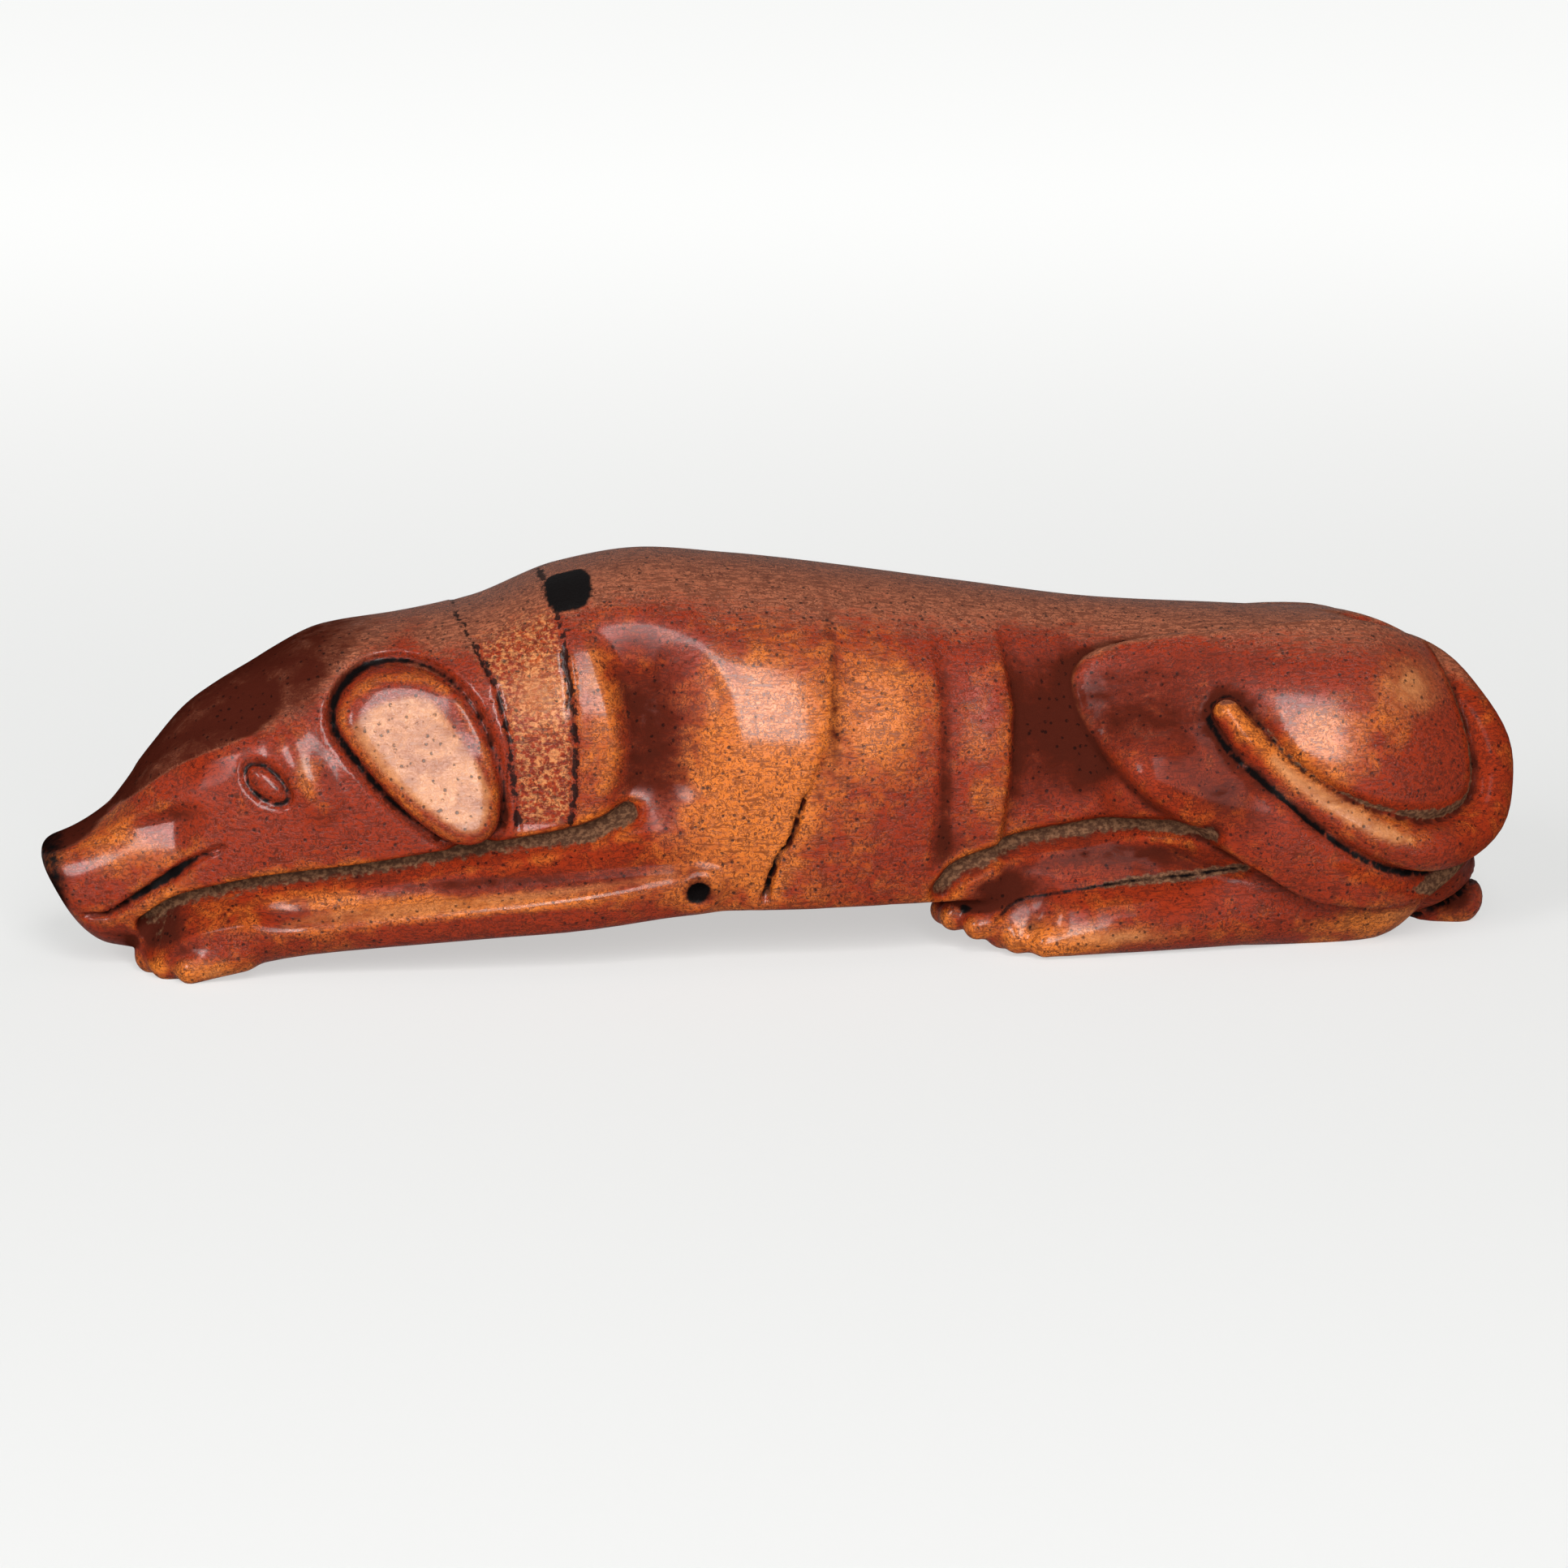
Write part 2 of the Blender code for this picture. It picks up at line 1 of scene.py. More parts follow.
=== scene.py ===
"""Carved wooden snuff box in the form of a sleeping hound, on a plain pale floor in soft studio light.

The two pieces of the frame, the hound and its plug lid, are each replaced by a finely carved one.
The hound is carved as its solid is: a field gives how far a point lies outside the carved surface,
and a block's skin is drawn in to it. The figure's own sizes are in carver's millimetres.
"""

import logging
from dataclasses import dataclass
from enum import Enum
from typing import Callable

import bmesh
import bpy
import numpy as np
from mathutils import Matrix, Vector


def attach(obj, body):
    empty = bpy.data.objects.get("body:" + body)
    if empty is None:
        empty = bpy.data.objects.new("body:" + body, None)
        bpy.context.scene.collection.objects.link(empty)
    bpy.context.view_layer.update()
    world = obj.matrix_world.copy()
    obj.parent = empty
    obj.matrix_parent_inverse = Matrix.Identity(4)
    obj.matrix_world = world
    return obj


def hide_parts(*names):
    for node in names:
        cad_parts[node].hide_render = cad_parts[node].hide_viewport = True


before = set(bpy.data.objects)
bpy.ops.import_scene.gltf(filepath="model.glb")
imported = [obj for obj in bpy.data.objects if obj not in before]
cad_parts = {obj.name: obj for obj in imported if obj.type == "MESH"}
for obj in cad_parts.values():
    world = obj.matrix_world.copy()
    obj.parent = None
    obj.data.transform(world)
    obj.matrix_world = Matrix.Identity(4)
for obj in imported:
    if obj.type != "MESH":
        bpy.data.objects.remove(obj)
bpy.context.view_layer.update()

Rows = tuple[tuple[float, ...], ...]
Field = Callable[[np.ndarray], np.ndarray]
Colour = tuple[float, float, float]
Dresser = Callable[[bpy.types.Object], None]

MILLIMETRE = 0.001
FAR_AWAY = 1e6

log = logging.getLogger("snuff_box")


def along_table(table: Rows, x: np.ndarray) -> np.ndarray:
    """Reads a table's columns on a smooth curve that never overshoots its rows.

    Args:
        table: Rows whose first value is a place along x.
        x: The places to read at.

    Returns:
        One row of the other columns for each place.
    """
    rows = np.asarray(table, float)
    places, values = rows[:, 0], rows[:, 1:]
    spans = np.diff(places)[:, None]
    slopes = np.diff(values, axis=0) / spans
    before, after = slopes[:-1], slopes[1:]
    total = np.where(before * after > 0, before + after, 1.0)
    tangents = np.zeros_like(values)
    tangents[1:-1] = np.where(before * after > 0, 2 * before * after / total, 0.0)
    tangents[0], tangents[-1] = slopes[0], slopes[-1]
    i = np.clip(np.searchsorted(places, x) - 1, 0, len(places) - 2)
    span = spans[i]
    t = np.clip((x[:, None] - places[i][:, None]) / span, 0.0, 1.0)
    start = values[i] * (1 + 2 * t) * (1 - t) ** 2 + span * tangents[i] * t * (1 - t) ** 2
    end = values[i + 1] * t * t * (3 - 2 * t) - span * tangents[i + 1] * t * t * (1 - t)
    return start + end


def smooth_curve(rows: Rows | np.ndarray, closed: bool = False, samples: int = 6) -> np.ndarray:
    """Gives points on a smooth curve through the rows.

    Args:
        rows: The points that the curve passes through, with any columns.
        closed: Whether the last row joins the first.
        samples: How many points each stretch gets.

    Returns:
        The curve's points, one per row.
    """
    rows = np.asarray(rows, float)
    if closed:
        ends = (rows[-1:], rows[:1], rows[1:2])
    else:
        ends = (2 * rows[:1] - rows[1:2], 2 * rows[-1:] - rows[-2:-1], rows[:0])
    q = np.vstack([ends[0], rows, ends[1], ends[2]])
    t = (np.arange(samples) / samples)[:, None]
    points = [
        0.5 * (2 * b + (c - a) * t + (2 * a - 5 * b + 4 * c - d) * t**2 + (3 * b - a - 3 * c + d) * t**3)
        for a, b, c, d in zip(q[:-3], q[1:-2], q[2:-1], q[3:])
    ]
    if not closed:
        points.append(rows[-1:])
    return np.vstack(points)


def joined(first: np.ndarray, second: np.ndarray, blend: float) -> np.ndarray:
    """Makes two solids one, with a fillet of about the blend's size."""
    h = np.clip(blend - np.abs(first - second), 0.0, None) / blend
    return np.minimum(first, second) - h * h * blend / 4


def shared(first: np.ndarray, second: np.ndarray, blend: float) -> np.ndarray:
    """Keeps what lies in both solids, its edge rounded by about the blend's size."""
    h = np.clip(blend - np.abs(first - second), 0.0, None) / blend
    return np.maximum(first, second) + h * h * blend / 4


def eased(value: np.ndarray, low: float, high: float) -> np.ndarray:
    """Gives 0 below low, 1 above high and a soft step between."""
    t = np.clip((value - low) / (high - low), 0.0, 1.0)
    return t * t * (3 - 2 * t)


def largest(*values: np.ndarray) -> np.ndarray:
    """Gives the largest of the values at each point."""
    return np.maximum.reduce(values)


def only(where: np.ndarray, value: np.ndarray) -> np.ndarray:
    """Keeps a line's mark where it is wanted, and puts it out of sight elsewhere."""
    return np.where(where, value, -1.0)


def rounded_dip(distance: np.ndarray, width: float) -> np.ndarray:
    """Gives a gouge's profile, 1 on its line and 0 at half its width."""
    t = np.clip(2 * distance / width, 0.0, 1.0)
    return (1 - t * t) ** 2


def limb(points: np.ndarray, rows: Rows | np.ndarray, samples: int = 4, reach: float = 6.0) -> np.ndarray:
    """Measures how far points lie outside a round limb.

    Args:
        points: The points to measure, one per row.
        rows: The limb's middle line and radius, as x, y, z and radius.
        samples: How many pieces each stretch of the line gets.
        reach: How far from the limb points are still measured.

    Returns:
        The distances, and a very large one beyond the reach.
    """
    line = smooth_curve(rows, samples=samples)
    spread = line[:, 3].max() + reach
    low, high = line[:, :3].min(axis=0) - spread, line[:, :3].max(axis=0) + spread
    near = np.all((points > low) & (points < high), axis=1)
    q = points[near]
    best = np.full(len(q), FAR_AWAY)
    for a, b in zip(line[:-1], line[1:]):
        run = b[:3] - a[:3]
        t = np.clip((q - a[:3]) @ run / (run @ run), 0.0, 1.0)
        radius = a[3] + (b[3] - a[3]) * t
        best = np.minimum(best, np.linalg.norm(q - a[:3] - t[:, None] * run, axis=1) - radius)
    distance = np.full(len(points), FAR_AWAY)
    distance[near] = best
    return distance


def egg(points: np.ndarray, centre: tuple, radii: tuple) -> np.ndarray:
    """Measures how far points lie outside an ellipsoid, close to true near its surface.

    Args:
        points: The points to measure, one per row.
        centre: Its middle.
        radii: Its radii along x, y and z.

    Returns:
        The distances.
    """
    q = (points - np.array(centre)) / np.array(radii)
    out = np.linalg.norm(q, axis=1)
    pull = np.linalg.norm(q / np.array(radii), axis=1)
    return out * (out - 1) / np.maximum(pull, 1e-9)


def from_line(flat: np.ndarray, line: np.ndarray, reach: float = 4.0) -> np.ndarray:
    """Measures how far points in a plane lie from an open line.

    Args:
        flat: The points, two values each.
        line: The line's points; a third value is its half width there.
        reach: How far from the line points are still measured.

    Returns:
        The distances from the line's edge, and a very large one beyond the reach.
    """
    if line.shape[1] == 2:
        line = np.column_stack([line, np.zeros(len(line))])
    low, high = line[:, :2].min(axis=0) - reach, line[:, :2].max(axis=0) + reach
    near = np.all((flat > low) & (flat < high), axis=1)
    q = flat[near]
    best = np.full(len(q), FAR_AWAY)
    for a, b in zip(line[:-1], line[1:]):
        run = b[:2] - a[:2]
        t = np.clip((q - a[:2]) @ run / (run @ run), 0.0, 1.0)
        half = a[2] + (b[2] - a[2]) * t
        best = np.minimum(best, np.linalg.norm(q - a[:2] - t[:, None] * run, axis=1) - half)
    distance = np.full(len(flat), FAR_AWAY)
    distance[near] = best
    return distance


def from_curve(flat: np.ndarray, rows: Rows) -> np.ndarray:
    """Measures how far points in a plane lie from the smooth curve through the rows."""
    return from_line(flat, smooth_curve(rows))


def from_outline(flat: np.ndarray, outline: Rows) -> np.ndarray:
    """Measures how far points in a plane lie outside a smooth closed outline.

    Args:
        flat: The points, two values each.
        outline: The points that the outline passes through.

    Returns:
        The distances, below zero inside the outline.
    """
    ring = smooth_curve(outline, closed=True)
    low, high = ring.min(axis=0), ring.max(axis=0)
    distance = from_line(flat, np.vstack([ring, ring[:1]]), reach=max(high - low) / 2 + 4.0)
    near = np.all((flat > low) & (flat < high), axis=1)
    x, y = flat[near].T
    inside = np.zeros(len(x), bool)
    for a, b in zip(ring, np.roll(ring, -1, axis=0)):
        crosses = (a[1] > y) != (b[1] > y)
        rise = b[1] - a[1] if b[1] != a[1] else 1e-9
        inside ^= crosses & (x < (b[0] - a[0]) * (y - a[1]) / rise + a[0])
    distance[near] = np.where(inside, -distance[near], distance[near])
    return distance


def beside(x: np.ndarray, z: np.ndarray, line: Rows) -> np.ndarray:
    """Gives how far x lies behind a line down the side, drawn as heights and places."""
    heights, places = zip(*line)
    return x - np.interp(z, heights, places)


def blobs(x: np.ndarray, z: np.ndarray, rows: Rows) -> np.ndarray:
    """Adds up soft round patches, drawn as x, z, their two radii and their strength.

    Args:
        x: The points' places along x.
        z: Their heights.
        rows: The patches.

    Returns:
        The sum at each point.
    """
    total = np.zeros(len(x))
    for place_x, place_z, radius_x, radius_z, strength in rows:
        total += strength * np.exp(-(((x - place_x) / radius_x) ** 2) - ((z - place_z) / radius_z) ** 2)
    return total


class Mark(Enum):
    """The marks that the skin carries for its finish and its painted light and shade, as names of its
    attributes.
    """

    # Dark lines: the carved lines, the crack and the knot, and painted shade in the gaps between toes and
    # feet and along the tail's edges
    INK_AND_SHADE = "ink_and_shade"
    BROKEN = "broken"
    WAX = "wax"
    # Painted shade, darker where the skin bends in and in the shade patches, with a few dark places of the
    # wood's own
    PAINTED_SHADE_AND_STAIN = "painted_shade_and_stain"
    # Lighter where the skin bulges: worn edges, partly painted highlight
    WEAR_AND_HIGHLIGHT = "wear_and_highlight"
    # Brown on the faces that look up, patina with a painted sheen, and the painted shade of the head's top
    PATINA_SHEEN_AND_SHADE = "patina_sheen_and_shade"
    # Golden worn wood, and painted highlights on the shoulder, haunch, muzzle, collar, toes and tail top
    GOLD_AND_HIGHLIGHT = "gold_and_highlight"
    # Painted highlights: the ear's flat, the temple, the tail's ridge, the foreleg's arris, the thigh's rim
    # and small spots
    PALE_HIGHLIGHT = "pale"
    # Black: the patch on the neck and the nose's end, and painted shade at the far heel's low back
    BLACK_AND_SHADE = "black_and_shade"
    BAND = "band"
    INSIDE = "inside"


@dataclass(frozen=True)
class Trunk:
    """The trunk with the neck and head, as a smooth body along x."""

    # Place, middle, half width, heights of the widest point, the back and the underside, squareness
    rows: Rows = (
        (-62, -3.6, 4.8, 6.4, 9.2, 2.6, 2.4),
        (-57.3, -3.2, 5.2, 7, 10.4, 2.4, 2.5),
        (-53.8, -2.8, 6.1, 7.8, 12.3, 1.6, 2.6),
        (-50, -2.3, 7.6, 9, 17.2, 0.8, 2.6),
        (-46, -1.9, 9.2, 10.6, 21.4, 0, 2.5),
        (-42, -1.5, 10.3, 12, 23.5, -1, 2.4),
        (-36, -1.1, 11.2, 13, 26.4, -2, 2.3),
        (-30, -0.8, 11.6, 13.5, 27.2, -3, 2.3),
        (-24, -0.5, 12.2, 14, 28.2, -4, 2.6),
        (-17, -0.2, 12.9, 14.2, 30.7, -5, 2.7),
        (-10, 0, 13.4, 14.2, 31.8, -6, 2.4),
        (-3, 0.2, 14.3, 14, 31.2, -6, 2.2),
        (1, 0.3, 14.5, 13.8, 30.7, -6, 2.2),
        (6, 0.3, 14, 13.6, 30, -6, 2.2),
        (16, 0.3, 12.6, 13.2, 28.5, -6, 2.2),
        (26, 0.2, 11.3, 12.8, 27.1, -5, 2.2),
        (36, 0, 12.2, 12.4, 26.3, -4, 2.3),
        (46, -0.2, 12.8, 12, 25.8, -4, 2.3),
        (62, -0.6, 13, 11.4, 26.4, -4, 2.3),
    )
    # Height of the underside, which arches between the paws and the hind feet
    underside: Rows = (
        (-62, -4), (-46, 0), (-37, 2.8), (-30, 4.6), (14, 4.6), (22, 3), (30, -0.5),
        (46, -0.5), (50, 0.6), (53, 3), (58, 5),
    )
    rump_from: float = 44.0
    rump_end: float = 59.2
    rump_width_power: float = 0.85
    rump_height_power: float = 0.9
    nose_point: tuple = (-58.1, 0, 7)
    nose_facing: tuple = (-0.89, 0, -0.45)
    nose_round: float = 1.8
    arris: float = 1.0
    # Height of the brow's ridge along the head, and how far the forehead rises above it
    brow_ridge: Rows = (
        (-56, 10, 2), (-52.5, 13.3, 0.7), (-50, 15.4, 2), (-47.7, 17.1, 3), (-45.3, 18.3, 3.5),
        (-42.5, 19.3, 4.3), (-40.5, 20.6, 4.6), (-38, 23.2, 5.8), (-34, 29, 5), (-30, 38, 5),
    )

    def middle(self, x: np.ndarray) -> np.ndarray:
        """Gives the trunk's middle at each x."""
        return along_table(self.rows, x)[:, 0]

    def mirrored(self, rows: Rows) -> np.ndarray:
        """Gives the same limb on the far side of the trunk's middle.

        Args:
            rows: The limb's rows, drawn for the near side.

        Returns:
            The rows for the far side.
        """
        turned = np.array(rows, float)
        turned[:, 1] = 2 * self.middle(turned[:, 0]) - turned[:, 1]
        return turned

    def field(self, points: np.ndarray) -> tuple[np.ndarray, np.ndarray]:
        """Measures how far points lie outside the trunk.

        Args:
            points: The points to measure.

        Returns:
            The distances, and the height of each point's place on the trunk's skin, straight in towards
            its middle, so that lines cut there meet the skin squarely.
        """
        x, y, z = points.T
        middle, width, waist, back, low, square = along_table(self.rows, x).T
        share = np.clip(x - self.rump_from, 0.0, None) / (self.rump_end - self.rump_from)
        round_off = np.sqrt(np.clip(1 - share**2, 0.0004, 1.0))
        width = width * round_off**self.rump_width_power
        above = (back - waist) * round_off**self.rump_height_power
        below = (waist - low) * round_off
        height = np.where(z > waist, above, below)
        ring = np.abs((y - middle) / width) ** square + np.abs((z - waist) / height) ** square
        reach = np.maximum(ring ** (1 / square), 0.3)
        field = (reach - 1) * np.minimum(width, above)
        ridge, crown = along_table(self.brow_ridge, x).T
        across = np.clip(np.abs(y - middle) / (0.8 * width), 0.0, 1.3) ** 2
        roof = ridge + crown * (1 - across) * (1 - 0.35 * across)
        field = shared(field, 0.8 * (z - roof), 0.35)
        field = shared(field, x - self.rump_end, self.arris)
        nose = (points - np.array(self.nose_point)) @ np.array(self.nose_facing)
        return shared(field, nose, self.nose_round), waist + (z - waist) / reach


@dataclass(frozen=True)
class Limbs:
    """The legs, feet, tail and brows, as rows of x, y, z and radius drawn for the near side."""

    foreleg: Rows = (
        (-8, -10.6, 8.6, 3.6), (-16, -11.4, 7.5, 3.6), (-25, -11.2, 6.6, 3.3), (-38.4, -10.2, 5.2, 3),
        (-44.5, -9.2, 3.7, 3.3), (-48, -8.4, 2.7, 3),
    )
    fore_toes: tuple = (
        ((-45, -5.6, 2.6, 1.8), (-49.9, -5.2, 1.2, 1.3)),
        ((-45, -7.6, 2.9, 1.8), (-50.4, -7.4, 1.2, 1.35)),
        ((-44.5, -9.6, 2.7, 1.8), (-49.2, -9.6, 1.2, 1.35)),
        ((-43.5, -11.2, 2.2, 1.5), (-47.4, -11.5, 1.1, 1.2)),
    )
    # The haunch's middle, and its radii before and behind it along x, across and up
    haunch_place: tuple = (47, -5.6, 13)
    haunch_radii: tuple = (23, 12.5, 7.6, 9.5)
    # The far hip's middle and its radii
    far_hip: tuple = ((36, 5, 8), (17, 9, 9))
    shin: Rows = ((29, -9.6, 14, 4.4), (37, -10.4, 10.6, 3.8), (45, -9.8, 7.2, 3.2), (49.4, -8.4, 4.4, 2.9))
    near_foot: Rows = (
        (48.2, -7.6, 3, 2.9), (43, -8.6, 3.3, 3.3), (36, -10, 3.4, 3.3), (28, -10.8, 3, 3),
        (23, -10.6, 2.6, 2.7),
    )
    near_toes: tuple = (
        ((24, -8.2, 2.4, 1.6), (18.4, -7.8, 1.5, 1.2)),
        ((24, -9.8, 2.6, 1.7), (17.8, -9.6, 1.6, 1.3)),
        ((24.4, -11.2, 2.3, 1.6), (18.8, -11.2, 1.5, 1.25)),
        ((25.4, -12.4, 1.9, 1.3), (20.8, -12.5, 1.3, 1.1)),
    )
    far_foot: Rows = ((40, -6.5, 6.6, 3), (30, -8.6, 6.5, 3), (22, -8.4, 5.8, 2.9), (17, -7.4, 4.6, 2.6))
    far_toes: tuple = (
        ((19, -5.2, 3.8, 1.5), (14.6, -4.8, 2.5, 1.2)),
        ((19, -6.8, 4.2, 1.6), (13.6, -6.6, 2.9, 1.25)),
        ((19.2, -8.6, 4.2, 1.6), (14, -8.6, 2.9, 1.25)),
        ((20, -10.2, 3.6, 1.4), (15.6, -10.4, 2.4, 1.1)),
    )
    heel: Rows = ((46, 3, 2.4, 3), (53.5, -0.8, 1.2, 2.6), (56.8, -3, 1.8, 2.3))
    heel_gap: Rows = ((52.6, -0.4), (55.6, 1.8), (58.9, 3.9))
    tail: Rows = (
        (45, 0, 22.4, 2), (50.6, -1.6, 22.3, 2), (53.7, -4.6, 21.3, 2), (55.8, -7.4, 18.9, 2),
        (57.4, -9, 16, 2), (57.6, -9.6, 13, 2), (56.8, -10.6, 10.4, 2), (54.2, -12.4, 8.9, 2),
        (51, -14.2, 8.8, 1.95), (47.3, -14.9, 10, 1.85), (43.1, -14.5, 12.3, 1.7), (39.7, -14.2, 14.7, 1.5),
        (36.8, -13.9, 17.7, 1.35), (35.1, -13.4, 20, 1.1),
    )
    # The far haunch's lower end, which shows behind the near heel, as its middle and radii
    far_end: tuple = ((54.2, -1, 4.4), (4.5, 6, 3.8))
    # The arris along the foreleg, as x, y and z, and the ways its upper and lower faces look
    leg_arris: Rows = (
        (-42, -12.7, 3.9), (-38.7, -13.2, 4.3), (-24.6, -14.4, 5.8), (-16.8, -14.6, 6.6), (-8, -14, 7.8),
    )
    leg_upper: tuple = (-0.58, 0.815)
    leg_lower: tuple = (-0.96, -0.28)
    brow: Rows = (
        (-49.8, -6.2, 14.4, 1), (-48.4, -6.9, 15.8, 1.2), (-46, -7.4, 16.9, 1.5), (-43, -8, 17.6, 1.6),
    )
    temple: Rows = ((-38.9, -10, 18, 1.4), (-38.1, -10.8, 16.4, 1.5), (-36.9, -11.3, 14.4, 1.2))
    hip_fillet: float = 3.0
    limb_fillet: float = 1.2
    toe_fillet: float = 0.9


@dataclass(frozen=True)
class Cuts:
    """The outlines and lines cut into the hound's sides, as x and z, or as z and x down a side."""

    ear: Rows = (
        (-35.5, 20.3), (-35, 22.5), (-32.9, 24.1), (-29.7, 24.4), (-27, 23.5), (-25, 21.4),
        (-23.6, 18.4), (-22.8, 15.2), (-23.1, 12.4), (-24.6, 11.1), (-26.8, 11.2), (-29.2, 12.7),
        (-31.5, 14.8), (-33.8, 17.6),
    )
    # The plane of the ear's face
    ear_point: tuple = (-29.5, -12.75, 17.5)
    ear_facing: tuple = (-0.01, -0.937, 0.35)
    ear_round: float = 1.9
    # The plane that the muzzle's side is pared to
    muzzle_point: tuple = (-51, -9.25, 10.2)
    muzzle_facing: tuple = (-0.275, -0.899, 0.342)
    eye: Rows = (
        (-42.7, 17), (-42.5, 15.9), (-41.5, 14.8), (-40.1, 14.3), (-39.4, 14.8), (-39.9, 16.1), (-41, 17.2),
        (-42.1, 17.5),
    )
    thigh: Rows = (
        (22.9, 21.4), (23.3, 23.2), (25.2, 24.4), (29.6, 24.9), (38, 24.8), (48, 24.6), (58, 20), (56, 6),
        (44, 5), (37.3, 7.9), (34.2, 9.6), (31, 11.4), (27.6, 13.6), (25.2, 16.2), (23.6, 18.9),
    )
    mouth: Rows = (
        (-55.5, 4.8, 0.1), (-54, 4.8, 0.16), (-52.7, 5.5, 0.2), (-51.3, 6.5, 0.28), (-49.5, 7.7, 0.4),
        (-47.9, 8.9, 0.36), (-46.7, 9.8, 0.2), (-44.6, 10.8, 0.02),
    )
    leg_groove: Rows = (
        (-12.8, 12.9), (-14.8, 11.9), (-17.6, 11), (-22.5, 10.1), (-32.3, 8.5), (-40.2, 7.6), (-44.1, 6.9),
        (-48, 5.8), (-50.6, 4),
    )
    belly_groove: Rows = ((12.5, 5.6), (14.1, 7.2), (18.6, 8.8), (23.6, 9.7), (28.6, 10.6), (33.5, 10.8))
    # The lines between the hind feet, over the far one and along the near one
    foot_line: Rows = (
        (17, 3.2), (18.7, 4.6), (21.2, 5.1), (25.3, 5.8), (28.6, 6.2), (32.8, 6.5), (36.9, 7.2),
    )
    fold: Rows = ((13.5, -13.9), (15.5, -13.1), (18.8, -12.6), (22, -13), (25.8, -14.2), (28.4, -16.1))
    # Each rib's line, how deep its step is and how far behind it the side has risen again
    ribs: tuple = (
        (((5.8, -1.9), (10.3, -0.2), (14.6, 1.4), (19.8, 3.3), (28, 4)), 0.35, 7.5),
        (((9.3, 11.4), (14.8, 12), (20.8, 12.4), (26, 12)), 0.35, 6),
        (((9.3, 17.2), (14.6, 17.9), (20.6, 18.3), (26, 17.6)), 0.8, 18),
    )
    collar_front: Rows = (
        (12.8, -21.5), (16.1, -21.8), (19.4, -22.1), (23.3, -23), (26, -24.4), (28, -25.8),
    )
    collar_rear: Rows = (
        (12.8, -17.3), (14.9, -17), (18.8, -16.9), (23.4, -17.2), (27.4, -17.7), (30, -18.6),
    )
    crack: Rows = ((1.4, 14.6, 0.02), (0.8, 13, 0.14), (0.2, 10.9, 0.16), (-1, 8.9, 0.2), (-1.9, 5.8, 0.26))
    knot: tuple = (-7.3, 6.9)


